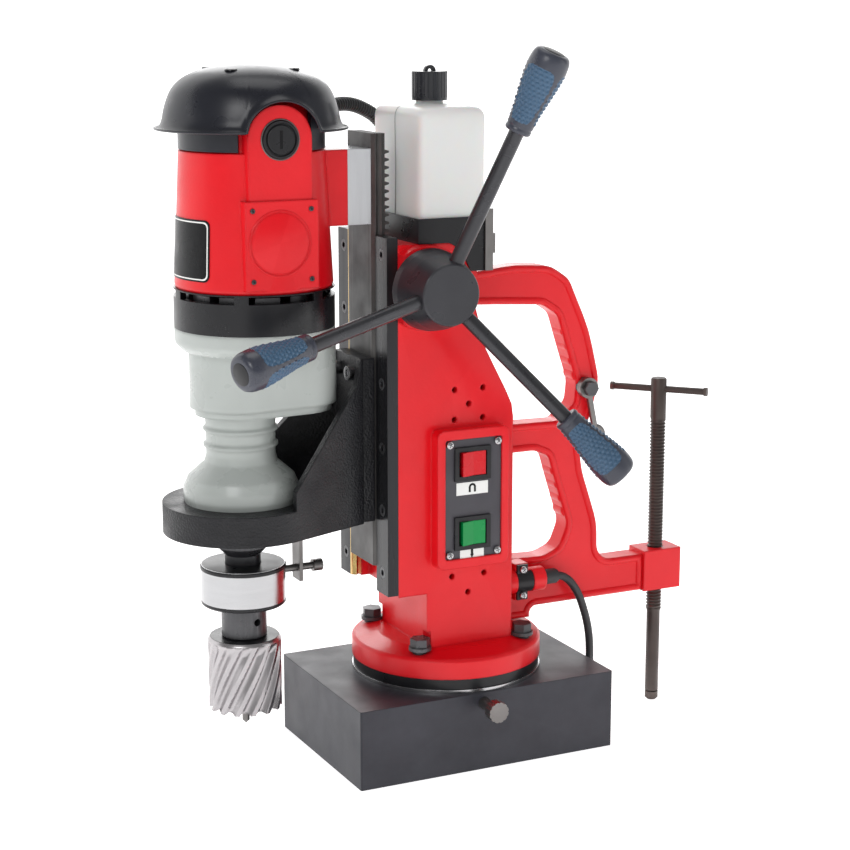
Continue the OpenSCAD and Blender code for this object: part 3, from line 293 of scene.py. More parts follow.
# ------------------------------------------------------------ mesh helpers
def piece(name, verts, faces, mat, body, smooth=True, replaces=(), crease=32):
    """A mesh piece from millimetres, riding on a body."""
    mesh = bpy.data.meshes.new(name)
    mesh.from_pydata([tuple(c * MM for c in v) for v in verts], [], faces)
    mesh.validate()
    mesh.update()
    obj = bpy.data.objects.new(name, mesh)
    bpy.context.scene.collection.objects.link(obj)
    for m in (mat if isinstance(mat, (list, tuple)) else [mat]):
        mesh.materials.append(M[m])
    if smooth:
        for p in mesh.polygons:
            p.use_smooth = True
        mod = obj.modifiers.new("sharp", "EDGE_SPLIT")
        mod.split_angle = rnd(crease)
    if body:
        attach(obj, body)
    if replaces:
        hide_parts(*replaces)
    return obj


class Build:
    """Collects vertices and faces of one piece."""

    def __init__(self):
        self.v = []
        self.f = []

    def grid(self, rows, closed_u=True, closed_v=False):
        """Rows of equal length become a surface. u runs within a row, v across rows."""
        base = len(self.v)
        n = len(rows[0])
        for row in rows:
            self.v.extend(tuple(p) for p in row)
        for i in range(len(rows) if closed_v else len(rows) - 1):
            j = (i + 1) % len(rows)
            for k in range(n if closed_u else n - 1):
                l = (k + 1) % n
                self.f.append((base + i * n + k, base + i * n + l, base + j * n + l, base + j * n + k))
        return base

    def cap(self, row, flip=False):
        base = len(self.v)
        self.v.extend(tuple(p) for p in row)
        ids = list(range(base, base + len(row)))
        self.f.append(tuple(reversed(ids)) if flip else tuple(ids))

    def lathe(self, profile, place=Matrix(), n=64, shape=None):
        """Profile of (radius, height) about the local Z axis."""
        rows = []
        for r, z in profile:
            row = []
            for k in range(n):
                a = 2 * math.pi * k / n
                q = shape(r, z, a) if shape else (r, z)
                row.append(place @ Vector((q[0] * math.cos(a), q[0] * math.sin(a), q[1])))
            rows.append(row)
        self.grid(rows)

    def box(self, lo, hi, place=Matrix()):
        x0, y0, z0 = lo
        x1, y1, z1 = hi
        base = len(self.v)
        for p in [(x0, y0, z0), (x1, y0, z0), (x1, y1, z0), (x0, y1, z0),
                  (x0, y0, z1), (x1, y0, z1), (x1, y1, z1), (x0, y1, z1)]:
            self.v.append(tuple(place @ Vector(p)))
        for q in [(0, 3, 2, 1), (4, 5, 6, 7), (0, 1, 5, 4), (1, 2, 6, 5), (2, 3, 7, 6), (3, 0, 4, 7)]:
            self.f.append(tuple(base + i for i in q))


def facing(pos, direction):
    """A frame at pos whose local Z points along direction."""
    turn = Vector(direction).to_track_quat("Z", "Y").to_matrix().to_4x4()
    return Matrix.Translation(Vector(pos)) @ turn


def upright(x, y):
    """A frame that stands on the floor plane at x, y."""
    return Matrix.Translation(Vector((x, y, 0)))


def smooth_route(points, step):
    """A smooth curve through the points, resampled to an even step."""
    pts = [Vector(p) for p in points]
    dense = []
    for i in range(len(pts) - 1):
        p0, p1, p2, p3 = pts[max(i - 1, 0)], pts[i], pts[i + 1], pts[min(i + 2, len(pts) - 1)]
        for k in range(12):
            s = k / 12
            dense.append(0.5 * ((2 * p1) + (p2 - p0) * s + (2 * p0 - 5 * p1 + 4 * p2 - p3) * s * s
                                + (3 * p1 - p0 - 3 * p2 + p3) * s ** 3))
    dense.append(pts[-1])
    total = sum((b - a).length for a, b in zip(dense, dense[1:]))
    count = max(2, int(round(total / step)))
    result, walked, i = [dense[0]], 0.0, 0
    for k in range(1, count):
        want = total * k / count
        while walked + (dense[i + 1] - dense[i]).length < want:
            walked += (dense[i + 1] - dense[i]).length
            i += 1
        seg = dense[i + 1] - dense[i]
        result.append(dense[i] + seg * ((want - walked) / seg.length))
    result.append(dense[-1])
    return result, total


def sweep(build, route, radius, n=14, caps=True):
    """A round tube along a route; radius is a number or a function of the index."""
    side = None
    rows = []
    for i, p in enumerate(route):
        t = (route[min(i + 1, len(route) - 1)] - route[max(i - 1, 0)]).normalized()
        if side is None:
            side = t.cross(Vector((0, 0, 1)) if abs(t.z) < 0.9 else Vector((0, 1, 0))).normalized()
        side = (side - t * side.dot(t)).normalized()
        other = t.cross(side)
        r = radius(i) if callable(radius) else radius
        angles = [2 * math.pi * k / n for k in range(n)]
        rows.append([p + r * (math.cos(a) * side + math.sin(a) * other) for a in angles])
    build.grid(rows)
    if caps:
        build.cap(rows[0], True)
        build.cap(rows[-1])


# ------------------------------------------------------------------- cords
CORD_D = 7.0
CORD_ROUTE = [
    (97, -21, 138.5), (104, -21, 136.5), (111, -21, 131), (117.5, -21, 122),
    (122, -21, 112.5), (125.5, -21, 102.5), (128.5, -20.5, 93), (131, -20, 82),
    (132.8, -19, 70), (134, -17.5, 57), (136, -14, 43), (138, -8, 30),
    (139.5, 1, 19), (140.5, 13, 10), (140.5, 27, 5), (139, 42, 4),
    (135, 57, 4), (130, 72, 4), (121.5, 86.5, 4), (107, 95.5, 4),
    (88, 101, 4), (71, 105, 4), (55, 106, 4)]
COIL = (40.0, 146.0, 40.0)        # centre x, y and the radius at mid turns


def cord_points():
    """The route down to the floor, then nine turns of coil; the last turn ends a little short."""
    pts = list(CORD_ROUTE)
    cx, cy, mid = COIL
    # turns in a 3 by 3 pack: the first layer from the outside in, then back out, then in
    lanes = [(1, 0), (0, 0), (-1, 0), (-1, 1), (0, 1), (1, 1), (1, 2), (0, 2), (-1, 2)]
    steps = 20
    for turn, (lane, layer) in enumerate(lanes):
        nxt = lanes[min(turn + 1, len(lanes) - 1)]
        last = turn == len(lanes) - 1
        count = steps - 3 if last else steps
        for k in range(count):
            s = k / steps
            e = max(0.0, (s - 0.8) / 0.2)
            e = e * e * (3 - 2 * e)
            ln = lane + (nxt[0] - lane) * e
            ly = layer + (nxt[1] - layer) * e
            a = rnd(-90) - 2 * math.pi * s
            r = mid + ln * CORD_D * 1.02
            z = 4.0 + ly * CORD_D * 0.99
            if turn == 0 and k < 5:
                r = mid + (0.0 + k / 5) * CORD_D
            pts.append((cx + r * math.cos(a), cy + r * math.sin(a), z))
    return pts


# ------------------------------------------------------------------ pieces
def make_cord():
    pts = cord_points()
    route, total = smooth_route(pts, 4.0)
    b = Build()
    sweep(b, route, CORD_D / 2, n=14)
    obj = piece("mains_cord", b.v, b.f, "rubber", None,
                replaces=("cord", "cord_coil"), crease=60)
    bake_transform(obj)


make_cord()

CONDUIT_ROUTE = [
    (-122, 22, 540), (-110, 27, 540), (-100, 31.2, 541), (-89, 36, 543.5),
    (-77, 42, 545), (-64, 48, 544), (-51, 53.5, 540), (-38, 58, 533),
    (-28, 61, 522), (-22, 63, 508), (-19, 64, 492), (-19, 64, 474),
    (-19, 64, 458), (-19, 64, 444), (-19, 62, 432), (-19, 57, 424),
    (-19, 50, 421), (-19, 44, 420.5)]


def make_conduit():
    route = smooth_route(CONDUIT_ROUTE, 0.75)[0]
    wave = [5.1, 5.55, 5.95, 5.55]
    b = Build()
    sweep(b, route, lambda i: wave[i % 4], n=18)
    obj = piece("conduit_hose", b.v, b.f, "hose_plastic", None,
                replaces=("conduit",), crease=70)
    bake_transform(obj)


make_conduit()


def arm_frame(k):
    """Frame of crank arm k: local Z runs out along the rod."""
    ang = rnd(CRANK_PHASE + 120 * k)
    cone = rnd(CRANK_CONE)
    d = Vector((math.cos(ang) * math.cos(cone), -math.sin(cone), math.sin(ang) * math.cos(cone)))
    return facing(CRANK_HUB, d)


def make_grips():
    """Hand grips with a collar, three blue fields of round bumps and a dark rounded end."""
    head = [(0, 140), (8.0, 140), (9.6, 140.3), (10.3, 141.2), (10.4, 143.4), (9.9, 144.2),
            (9.9, 145.0)]
    body = [(10.4, 145.6), (10.5, 149), (11.2, 158), (13.0, 170), (14.8, 183), (15.5, 191),
            (15.55, 195)]
    tail = [(15.3, 199), (14.7, 202.3), (13.6, 204.8), (12.0, 206.1), (9.8, 206.5), (0, 206.5)]
    n, count = 156, 116
    steps = [145.6 + (195 - 145.6) * i / (count - 1) for i in range(count)]

    def radius_at(z):
        for (r0, z0), (r1, z1) in zip(body, body[1:]):
            if z0 <= z <= z1:
                return r0 + (r1 - r0) * (z - z0) / (z1 - z0)
        return body[-1][0]

    v, f, mats = [], [], []
    for k in range(3):
        place = arm_frame(k)
        rows = [[(r, z, 0)] * n for r, z in head]
        for z in steps:
            row = []
            for j in range(n):
                u = (3 * j / n) % 1.0
                across = abs(u - 0.5) / 0.445
                along = abs(z - 171.5) / 22.5
                r = radius_at(z)
                lim = across ** 5 + along ** 5
                if lim < 1:
                    line = (z - 149) / 3.4
                    odd = 0.5 * (math.floor(line) % 2)
                    du = ((j / n) * 21 + odd) % 1.0 - 0.5
                    dv = line % 1.0 - 0.5
                    d = math.hypot(du, dv) / 0.40
                    r += -0.55 * min(1.0, (1 - lim) * 4) + 1.0 * math.sqrt(max(0.0, 1 - d * d))
                row.append((r, z, 1 if lim < 1 else 0))
            rows.append(row)
        rows += [[(r, z, 0)] * n for r, z in tail]
        b = Build()
        angles = [2 * math.pi * j / n for j in range(n)]
        b.grid([[place @ Vector((r * math.cos(a), r * math.sin(a), z))
                 for a, (r, z, _) in zip(angles, row)] for row in rows])
        base = len(v)
        v.extend(b.v)
        for idx, face in enumerate(b.f):
            f.append(tuple(base + q for q in face))
            i, j = divmod(idx, n)
            mats.append(1 if rows[i][j][2] and rows[i + 1][(j + 1) % n][2] else 0)
    obj = piece("hand_grips", v, f, ["grip_rubber", "blue_rubber"], "crank",
                replaces=("crank_grips",), crease=60)
    for p, m in zip(obj.data.polygons, mats):
        p.material_index = m
    # dark end buttons
    b = Build()
    for k in range(3):
        b.lathe([(8.8, 206.2), (8.8, 206.7), (8.2, 207.0), (0, 207.0)], arm_frame(k), 40)
    piece("grip_ends", b.v, b.f, "black_plastic", "crank")


make_grips()


def make_cutter():
    """Annular cutter with helical flutes and ground teeth."""
    n, flutes = 280, 14
    x0, foot, helix, rim = TOOL_X, 58, rnd(27), 30
    per_turn = flutes / (2 * math.pi)

    def flute(a, z):
        ph = (a * per_turn + (foot - z) * math.tan(helix) / rim * per_turn) % 1.0
        # land, then a steep wall down and a slow ramp back up
        if ph < 0.34:
            return 0.0
        s = (ph - 0.34) / 0.66
        return math.sin(math.pi * min(1.0, s ** 0.62)) ** 0.85

    rows = []
    for i in range(61):
        z = 58 + (118.8 - 58) * i / 60
        fade = min(1.0, max(0.0, (115.5 - z) / 7.0)) ** 0.5
        cham = max(0.0, z - 116.5) * 0.8
        row = []
        for k in range(n):
            a = 2 * math.pi * k / n
            r = 30 - cham - 3.1 * fade * flute(a, z)
            zz = z
            if i == 0:
                zz = z + 2.6 * flute(a, z) ** 0.7
            elif i == 1:
                zz = z + 2.0 * flute(a, z) ** 0.7
            row.append((x0 + r * math.cos(a), r * math.sin(a), zz))
        rows.append(row)
    top = [[(x0 + r * math.cos(2 * math.pi * k / n), r * math.sin(2 * math.pi * k / n), 118.8)
            for k in range(n)] for r in (27.6, 19.5, 9.4)]
    inner = []
    for r, z in [(25.4, 58.0), (25.4, 109.0), (3.2, 109.0)]:
        angles = [2 * math.pi * k / n for k in range(n)]
        inner.append([(x0 + r * math.cos(a), r * math.sin(a),
                       z + (2.6 * flute(a, foot) ** 0.7 if z == 58.0 else 0)) for a in angles])
    b = Build()
    b.grid(list(reversed(inner)) + rows + top)
    piece("fluted_cutter", b.v, b.f, "cutter_steel", "quill",
          replaces=("cutter",), crease=38)
    # black ring over the cutter's top face: painted shade under the arbor and coolant ring
    b = Build()
    b.lathe([(28.4, 118.2), (28.2, 118.9), (9.6, 118.9)], upright(x0, 0), 64)
    piece("cutter_shoulder", b.v, b.f, "black_paint", "quill")


make_cutter()


def make_clamp_screw():
    """Clamp screw with a cut thread between plain ends."""
    rows = []
    n = 36

    def row(r, z):
        return [(CLAMP_X + r * math.cos(2 * math.pi * k / n), r * math.sin(2 * math.pi * k / n), z)
                for k in range(n)]

    for r, z in [(2.4, 4.3), (2.4, 9.1), (5.0, 9.1), (6.0, 10.2), (6.0, 85.0), (6.3, 86.6)]:
        rows.append(row(r, z))
    pitch = 3.0
    count = int((263 - 88) / (pitch / 6))
    for i in range(count):
        z = 88 + i * pitch / 6
        ring = []
        for k in range(n):
            a = 2 * math.pi * k / n
            ph = (z / pitch - a / (2 * math.pi)) % 1.0
            tri = abs(ph - 0.5) * 2
            fade = min(1.0, (z - 87) / 4, (265 - z) / 4)
            r = 7.0 - 1.15 * fade * min(1.0, max(0.0, tri * 1.35 - 0.15))
            ring.append((CLAMP_X + r * math.cos(a), r * math.sin(a), z))
        rows.append(ring)
    for r, z in [(7.0, 265), (7.0, 299.2), (6.2, 300.4), (0.01, 301)]:
        rows.append(row(r, z))
    b = Build()
    b.grid(rows)
    piece("threaded_screw", b.v, b.f, "brown_steel", "screw",
          replaces=("clamp_screw",), crease=50)


make_clamp_screw()


def super_ring(cx, cy, hx, hy, z, power=11.0, n=160):
    row = []
    for k in range(n):
        a = 2 * math.pi * k / n
        c, s = math.cos(a), math.sin(a)
        q = (abs(c) ** power + abs(s) ** power) ** (-1 / power)
        row.append((cx + hx * q * c, cy + hy * q * s, z))
    return row


def make_tank():
    """Blow-moulded tank with round corners, a parting seam and a neck."""
    cx, cy, hx, hy = -17.0, -1.2, 30.6, 46.1
    rows = []
    for dz, inset in [(0, 9), (0.7, 5.5), (2.2, 2.8), (4.6, 1.0), (8, 0.2), (14, 0)]:
        rows.append(super_ring(cx, cy, hx - inset, hy - inset, 441 + dz))
    for i in range(1, 17):
        z = 455 + 81 * i / 17
        bow = 0.5 * math.sin(math.pi * i / 17)
        rows.append(super_ring(cx, cy, hx - bow, hy - bow, z))
    for dz, inset in [(0, 0.2), (3, 0.6), (5.6, 1.7), (7.6, 3.6), (8.8, 6.4), (9.3, 10), (9.5, 14),
                      (9.6, 18.3)]:
        rows.append(super_ring(cx, cy, hx - inset * 0.92, hy - inset, 536.2 + dz,
                               power=11 - 8 * inset / 18.3))
    neck = 160
    for r, z in [(11.6, 546.2), (11.0, 547.2), (11.0, 565.5), (8.6, 565.8), (8.6, 548)]:
        angles = [2 * math.pi * k / neck for k in range(neck)]
        rows.append([(cx + r * math.cos(a), -2 + r * math.sin(a), z) for a in angles])
    b = Build()
    b.grid(rows)
    b.cap(rows[0], True)
    piece("coolant_bottle", b.v, b.f, "tank_plastic", "column",
          replaces=("tank",), crease=55)
    # parting seam round the middle of the bottle, across the machine; its grey colour is painted shade along
    # the seam, the bottle's plastic being white throughout
    b = Build()
    path = []
    for r in rows[2:29]:
        path.append((r[0][0], r[0][2]))
    for s in (1, -1):
        b.grid([[(cx + s * (x - cx + dx), y, z) for dx, y in
                 [(-0.2, -1.9), (0.45, -1.5), (0.45, -0.9), (-0.2, -0.5)]] for x, z in path],
               closed_u=False)
    piece("bottle_seam_shade", b.v, b.f, "seam_plastic", "column")


make_tank()


def pad_disc():
    b = Build()
    for s in (-1, 1):
        b.lathe([(25.8, 0.0), (25.8, 0.35), (25.1, 0.75), (24.6, 0.6), (24.3, 0.1), (23.6, 0.1),
                 (23.2, 0.7),
                 (22.4, 1.0), (0.01, 1.0)], facing((MOTOR_X + 2 * s, s * PAD_Y, 446.5), (0, s, 0)), 96)
    piece("cover_discs", b.v, b.f, "red_paint", "carriage")
    b = Build()
    for s in (-1, 1):
        for x in (-24, 24):
            for z in (418, 472):
                b.lathe([(1.95, -0.8), (1.9, 0.35), (1.3, 0.7), (0.9, 0.7), (0.9, -0.4), (0.01, -0.4)],
                        facing((MOTOR_X + x, s * PAD_Y, z), (0, s, 0)), 20)
    piece("cover_screws", b.v, b.f, "black_steel", "carriage")


pad_disc()


def name_plate():
    """Blank plate on the motor's nose: black, with round corners and a thin white line."""
    def surf(u, z, lift):
        t = (z - 407) / (514 - 407)
        r = 63 + (57.5 - 63) * t + lift
        a = math.pi + u / 60.5
        return (MOTOR_X + r * math.cos(a), r * math.sin(a), z)

    def outline(half_u, z0, z1, r):
        pts = []
        for cu, cz, start in [(half_u - r, z1 - r, 0), (r - half_u, z1 - r, 90),
                              (r - half_u, z0 + r, 180), (half_u - r, z0 + r, 270)]:
            for i in range(7):
                a = rnd(start + 15 * i)
                pts.append((cu + r * math.cos(a), cz + r * math.sin(a)))
        dense = []
        for p, q in zip(pts, pts[1:] + pts[:1]):
            steps = max(1, round(math.hypot(q[0] - p[0], q[1] - p[1]) / 3))
            dense += [(p[0] + (q[0] - p[0]) * i / steps, p[1] + (q[1] - p[1]) * i / steps)
                      for i in range(steps)]
        return dense

    mid = 439.75                    # height of the plate's middle
    edge = outline(38, 416, 463.5, 5)
    shrink = [(1 - k / 8) for k in range(9)]
    b = Build()
    b.grid([[surf(u, z, -0.4) for u, z in edge]] +
           [[surf(u * q, mid + (z - mid) * q, 0.7) for u, z in edge] for q in shrink])
    piece("name_plate", b.v, b.f, "plate_black", "carriage", crease=30)
    b = Build()
    out = outline(36.6, 417.4, 462.1, 4.2)
    inn = [(u * 35.6 / 36.6, mid + (z - mid) * 21.35 / 22.35) for u, z in out]
    b.grid([[surf(u, z, h) for u, z in line] for line, h in [(out, 0.6), (out, 0.85), (inn, 0.85)]])
    piece("plate_line", b.v, b.f, "white_label", "carriage", crease=30)


name_plate()


def make_labels():
    b = Build()
    for x, z, w, h in [(-5.5, 236.0, 29, 10.5), (-5.5, 180.2, 22, 10)]:
        b.box((x - w / 2, -58.95, z - h / 2), (x + w / 2, -58.4, z + h / 2))
    piece("blank_labels", b.v, b.f, "white_label", "column", smooth=False)
    # pictograms: a horseshoe magnet and a drill point
    b = Build()
    for s in (-1, 1):
        b.box((-5.5 + s * 2.4 - 0.9, -59.1, 232.8), (-5.5 + s * 2.4 + 0.9, -58.9, 237.0))
    ring = []
    for i in range(13):
        a = math.pi * i / 12
        ring.append([(-5.5 + 1.5 * math.cos(a), -59.1, 236.9 + 1.5 * math.sin(a)),
                     (-5.5 + 3.3 * math.cos(a), -59.1, 236.9 + 3.3 * math.sin(a))])
    b.grid(ring, closed_u=False)
    b.box((-6.6, -59.1, 180.0), (-4.4, -58.9, 184.0))
    b.v += [(-7.2, -59.1, 180.0), (-3.8, -59.1, 180.0), (-5.5, -59.1, 176.4)]
    b.f.append((len(b.v) - 3, len(b.v) - 1, len(b.v) - 2))
    piece("label_signs", b.v, b.f, "plate_black", "column", smooth=False)


make_labels()


def screw_heads():
    """Domed cross-head screws of the panel and the cord saddle."""
    b = Build()
    recess_shade = Build()
    spots = [(-4.5 + sx * 22, -60.5, 227.5 + sz * 46.5) for sx in (-1, 1) for sz in (-1, 1)]
    spots += [(60, -29.5, 138.5 + dz) for dz in (-11.4, 11.4)]
    for i, p in enumerate(spots):
        place = facing(p, (0, -1, 0))
        b.lathe([(3.25, -2.2), (3.3, -0.2), (3.0, 0.5), (2.2, 1.05), (1.1, 1.3), (0.01, 1.35)],
                place, 28)
        # dark crosses on the domes are painted shade standing in for the cross recesses
        turn = place @ Matrix.Rotation(rnd(25 + 37 * i), 4, "Z")
        recess_shade.box((-1.9, -0.3, 0.4), (1.9, 0.3, 1.42), turn)
        recess_shade.box((-0.3, -1.9, 0.4), (0.3, 1.9, 1.42), turn)
    piece("screw_domes", b.v, b.f, "bright_steel", "column")
    piece("screw_recess_shade", recess_shade.v, recess_shade.f, "black_steel", "column", smooth=False)


screw_heads()


def make_rain_cap():
    """Moulded dome with a flared rim, an arch over each brush cap and a skirt round the motor."""
    outer = [(0.01, 580.6), (14, 580.1), (26, 578.6), (38, 575.9), (48, 572.2), (56, 567.2),
             (62, 560.6), (66, 552), (68.3, 544), (69.6, 537.5), (71.2, 533.6), (73.4, 531.6),
             (75, 530.9)]
    inner = [(73.2, 530.5), (70, 531.6), (67.8, 535), (66, 545), (63.6, 552.5), (59.4, 559.4),
             (53, 565.2), (44, 569.8), (30, 573.2), (0.01, 575)]
    cx, arch, bz = MOTOR_X, 29.5, BRUSH_Z
    n = 288

    def curve(points, step):
        return [(p.x, p.y) for p in smooth_route([(r, z, 0) for r, z in points], step)[0]]

    def place(r, z, a):
        flare = 0.0
        if abs(math.sin(a)) > 0.6:
            gap = math.hypot(r * math.cos(a), z - bz) - arch
            flare = 3.2 * max(0.0, 1 - gap / 5.5) ** 2 if z > 531 else 0.0
        r += flare
        return Vector((cx + r * math.cos(a), r * math.sin(a), z))

    def inside(r, z, a):
        return abs(math.sin(a)) > 0.6 and math.hypot(r * math.cos(a), z - bz) < arch

    def column(line, a, count):
        """The part of the profile above the arch, evenly resampled, listed from the top down."""
        kept = [line[0]]
        for p, q in zip(line, line[1:]):
            if inside(q[0], q[1], a):
                lo, hi = 0.0, 1.0
                for _ in range(18):
                    mid = (lo + hi) / 2
                    if inside(p[0] + (q[0] - p[0]) * mid, p[1] + (q[1] - p[1]) * mid, a):
                        hi = mid
                    else:
                        lo = mid
                kept.append((p[0] + (q[0] - p[0]) * lo, p[1] + (q[1] - p[1]) * lo))
                break
            kept.append(q)
        size = [0.0]
        for p, q in zip(kept, kept[1:]):
            size.append(size[-1] + math.hypot(q[0] - p[0], q[1] - p[1]))
        result, i = [], 0
        for k in range(count):
            want = size[-1] * k / (count - 1)
            while i < len(kept) - 2 and size[i + 1] < want:
                i += 1
            t = (want - size[i]) / max(size[i + 1] - size[i], 1e-9)
            p, q = kept[i], kept[i + 1]
            result.append(place(p[0] + (q[0] - p[0]) * t, p[1] + (q[1] - p[1]) * t, a))
        return result

    top, under = curve(outer, 1.6), list(reversed(curve(inner, 2.4)))
    columns = []
    for k in range(n):
        a = 2 * math.pi * k / n
        columns.append(column(top, a, 60) + list(reversed(column(under, a, 24))))
    b = Build()
    b.grid(columns, closed_u=False, closed_v=True)
    # a thin bead along the lower edge
    edge = [c[59] for c in columns]
    ring = []
    for i, p in enumerate(edge):
        t = (edge[(i + 1) % n] - edge[i - 1]).normalized()
        side = t.cross(Vector((0, 0, 1))).normalized()
        up = side.cross(t)
        ring.append([p + 1.1 * (math.cos(rnd(45 * q)) * side + math.sin(rnd(45 * q)) * up)
                     for q in range(8)])
    b.grid(ring, closed_v=True)
    for s in (0, 180):
        limit = math.degrees(math.acos(30.0 / 57.6))
        arc = [rnd(s - limit + 2 * limit * i / 48) for i in range(49)]
        rows = [[(cx + r * math.cos(a), r * math.sin(a), z) for r, z in
                 [(57.6, 515.3), (57.6, 563), (54.6, 563), (54.6, 515.3)]] for a in arc]
        b.grid(rows)
        b.cap(rows[0], True)
        b.cap(rows[-1])
    posts = [upright(cx + 36 * math.cos(rnd(a)), 36 * math.sin(rnd(a))) for a in (45, 135, 225, 315)]
    for at in posts:
        b.lathe([(5, 552), (5, 575)], at, 24)
    piece("dome_cap", b.v, b.f, "cap_paint", "carriage", replaces=("rain_cap",), crease=50)
    b = Build()
    for at in posts:
        b.lathe([(5.2, 575.6), (4.9, 576.9), (4.0, 577.0), (3.6, 576.0), (3.2, 576.0), (3.0, 576.5),
                 (0.01, 576.6)], at, 28)
    piece("dome_screws", b.v, b.f, "black_paint", "carriage")


make_rain_cap()


def make_brush_caps():
    """Slotted brush caps with a ring groove; a near-black bar on each is painted shade for the slot, and the
    thin grey steel ring round each is a painted highlight on the red boss's lip.
    """
    caps, recess_shade, rings = Build(), Build(), Build()
    for s in (-1, 1):
        at = facing((MOTOR_X, s * BRUSH_Y, BRUSH_Z), (0, s, 0))
        caps.lathe([(0.01, -30), (6, -30), (6, -10), (14.6, -10), (14.6, 1.9), (14.1, 2.4),
                    (12.7, 2.4), (12.3, 0.8), (11.5, 0.8), (11.1, 2.2), (10.7, 2.5), (0.01, 2.5)],
                   at, 64)
        # a near-black bar across each cap is painted shade standing in for the screwdriver slot
        recess_shade.box((-6.9, -1.1, 2.0), (6.9, 1.1, 2.56), at @ Matrix.Rotation(rnd(90), 4, "Z"))
        # thin grey steel ring: a painted highlight standing in for the light on the lip of the red boss
        rings.lathe([(15.9, -0.4), (15.9, 0.5), (15.5, 0.9), (15.0, 0.9), (14.8, 0.4),
                     (14.8, -0.4)], at, 64)
    piece("slotted_caps", caps.v, caps.f, "black_plastic", "carriage",
          replaces=("brush_caps",))
    piece("cap_slot_shade", recess_shade.v, recess_shade.f, "plate_black", "carriage", smooth=False)
    piece("cap_rings", rings.v, rings.f, "dull_steel", "carriage")


make_brush_caps()


def ring_plates():
    """Black end plates of the coolant ring."""
    b = Build()
    for profile in ([(15.0, 180.2), (30, 180.2), (33.6, 180.0), (34.9, 179.0), (34.9, 176.6), (34.0, 176.4)],
                    [(34.0, 150.4), (34.6, 150.2), (34.6, 148.0), (33.4, 146.8), (15.0, 146.8)]):
        b.lathe(profile, upright(TOOL_X, 0), 96)
    piece("ring_plates", b.v, b.f, "black_paint", "carriage")


ring_plates()


# ---------------------------------------------------------- rear handle rim
def corner(a, b, c, r):
    u = (Vector(a[:2]) - Vector(b[:2])).normalized()
    w = (Vector(c[:2]) - Vector(b[:2])).normalized()
    half = math.acos(max(-1, min(1, u.dot(w)))) / 2
    p = Vector(b[:2]) + u * (r / math.tan(half))
    m = Vector(b[:2]) + (u + w).normalized() * (r / math.sin(half))
    a0 = math.atan2(p.y - m.y, p.x - m.x)
    sweep_a = math.pi - 2 * half
    turn = 1 if u.x * w.y - u.y * w.x > 0 else -1
    n = max(3, math.ceil(math.degrees(sweep_a) / 5))
    angles = [a0 - turn * sweep_a * i / n for i in range(n + 1)]
    return [(m.x + r * math.cos(a), m.y + r * math.sin(a)) for a in angles]


def rounded(pts):
    out = []
    for i, b in enumerate(pts):
        if b[2] > 0:
            out += corner(pts[i - 1], b, pts[(i + 1) % len(pts)], b[2])
        else:
            out.append((b[0], b[1]))
    return out


def even(pts, step):
    closed = [Vector(p) for p in pts] + [Vector(pts[0])]
    total = sum((b - a).length for a, b in zip(closed, closed[1:]))
    n = int(total / step)
    out, i, walked = [], 0, 0.0
    for k in range(n):
        want = total * k / n
        while walked + (closed[i + 1] - closed[i]).length < want:
            walked += (closed[i + 1] - closed[i]).length
            i += 1
        seg = closed[i + 1] - closed[i]
        out.append(closed[i] + seg * ((want - walked) / max(seg.length, 1e-9)))
    return out


HANDLE_OUT = [
    (10, 406, 0), (60, 410.5, 80), (94, 408, 26), (112, 396, 18), (133, 350, 140),
    (143.5, 306, 30), (136, 276, 24), (124, 252, 24), (128, 226, 60), (144, 178, 60),
    (144.5, 143, 15), (192, 143, 0), (192, 110, 0), (77, 110, 7), (77, 100.2, 0),
    (45, 100.2, 0), (45, 274, 0), (103, 273, 8), (119, 287, 10), (121, 305, 24),
    (110, 338, 120), (101, 366, 12), (86, 375.5, 12), (40, 378.5, 60), (10, 380, 0)]
GRIP_HOLE = [
    (45, 155.5, 4), (90, 153.5, 24), (106, 160, 14), (114, 180, 16), (101, 220, 60),
    (94, 243, 8), (80, 249, 14), (45, 249, 4)]


def make_rims():
    b = Build()
    for pts, sign in [(HANDLE_OUT, 1), (GRIP_HOLE, -1)]:
        path = even(rounded(pts), 2.0)
        area = sum(p.x * q.y - q.x * p.y for p, q in zip(path, path[1:] + path[:1])) / 2
        s = sign * (1 if area > 0 else -1)
        for side in (-1, 1):
            rows = []
            for i, p in enumerate(path):
                t = (path[(i + 1) % len(path)] - path[i - 1]).normalized()
                inward = Vector((-t.y, t.x)) * s
                ring = []
                for d, h in [(0.4, 8.6), (0.6, 9.9), (1.4, 10.7), (2.6, 10.9), (4.6, 10.7), (5.6, 10.0),
                             (6.2, 8.8)]:
                    q = p + inward * d
                    ring.append((q.x, side * h, q.y))
                rows.append(ring)
            b.grid(rows, closed_u=False, closed_v=True)
    piece("handle_rims", b.v, b.f, "red_paint", "column", crease=60)


make_rims()


def make_finger_ridges():
    """Rounded ridges between the fingers on the inner edges of both handles."""
    b = Build()
    for (x0, z0), (x1, z1), count in [((121.2, 306), (105.5, 358), 4), ((112.5, 186), (97.5, 236), 4)]:
        for i in range(count):
            s = (i + 0.5) / count
            bow = 2.2 * math.sin(math.pi * s)
            at = facing((x0 + (x1 - x0) * s + 4.2 + bow * 0.3, 0, z0 + (z1 - z0) * s), (0, 1, 0))
            b.lathe([(0.01, -8.5), (5.4, -8.5), (6.6, -7.2), (6.6, 7.2), (5.4, 8.5), (0.01, 8.5)],
                    at, 36)
    piece("finger_ridges", b.v, b.f, "red_paint", "column")


make_finger_ridges()


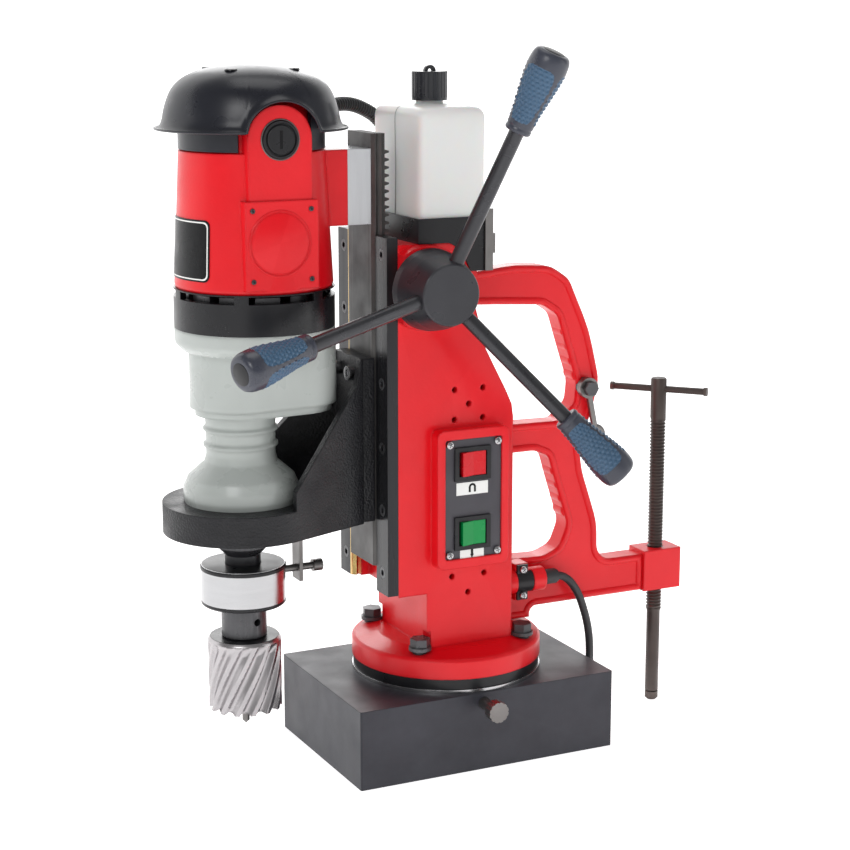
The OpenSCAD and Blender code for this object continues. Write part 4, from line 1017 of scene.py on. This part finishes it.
# ------------------------------------------------------------------- stage
def make_stage():
    m = finish_mat("studio_floor", (0.90, 0.90, 0.90), 0.8, vary=0.003, vary_scale=2.0,
                   bumps=[("noise", 40, 0.02, 0.2)], spec=0.1, glow=0.80)
    mesh = bpy.data.meshes.new("studio_floor")
    s = 30.0
    n = 24
    verts = [(-s, -s, -0.0005), (s, -s, -0.0005)]
    faces = []
    for i in range(n + 1):
        t = i / n
        y = 3.0 + 1.6 * math.sin(t * math.pi / 2)
        z = 1.6 * (1 - math.cos(t * math.pi / 2)) - 0.0005
        verts += [(-s, y, z), (s, y, z)]
    verts += [(-s, 4.6, 6.0), (s, 4.6, 6.0)]
    for i in range(len(verts) // 2 - 1):
        faces.append((2 * i, 2 * i + 1, 2 * i + 3, 2 * i + 2))
    mesh.from_pydata(verts, [], faces)
    for p in mesh.polygons:
        p.use_smooth = True
    mesh.materials.append(m)
    obj = bpy.data.objects.new("studio_floor", mesh)
    bpy.context.scene.collection.objects.link(obj)


def area_light(name, pos, aim, size, power, color=(1, 1, 1), size_y=None):
    data = bpy.data.lights.new(name, "AREA")
    data.energy = power
    data.color = color
    data.shape = "RECTANGLE"
    data.size = size
    data.size_y = size_y or size
    obj = bpy.data.objects.new(name, data)
    obj.location = pos
    obj.rotation_euler = (Vector(aim) - Vector(pos)).to_track_quat("-Z", "Y").to_euler()
    bpy.context.scene.collection.objects.link(obj)


def make_light():
    world = bpy.data.worlds.new("studio")
    bpy.context.scene.world = world
    world.use_nodes = True
    bg = world.node_tree.nodes["Background"]
    bg.inputs[0].default_value = (1, 1, 1, 1)
    bg.inputs[1].default_value = 0.30
    aim = (0, 0, 0.28)
    area_light("key", (-1.6, -1.7, 1.7), aim, 1.0, 17)
    area_light("fill", (1.9, -1.3, 0.9), aim, 0.8, 5.5, size_y=1.6)
    area_light("top", (0.1, 0.2, 2.3), aim, 1.2, 8)
    area_light("rim", (0.7, 1.9, 1.2), aim, 0.9, 7)
    vs = bpy.context.scene.view_settings
    vs.view_transform = "Standard"
    vs.look = "None"


make_stage()
make_light()
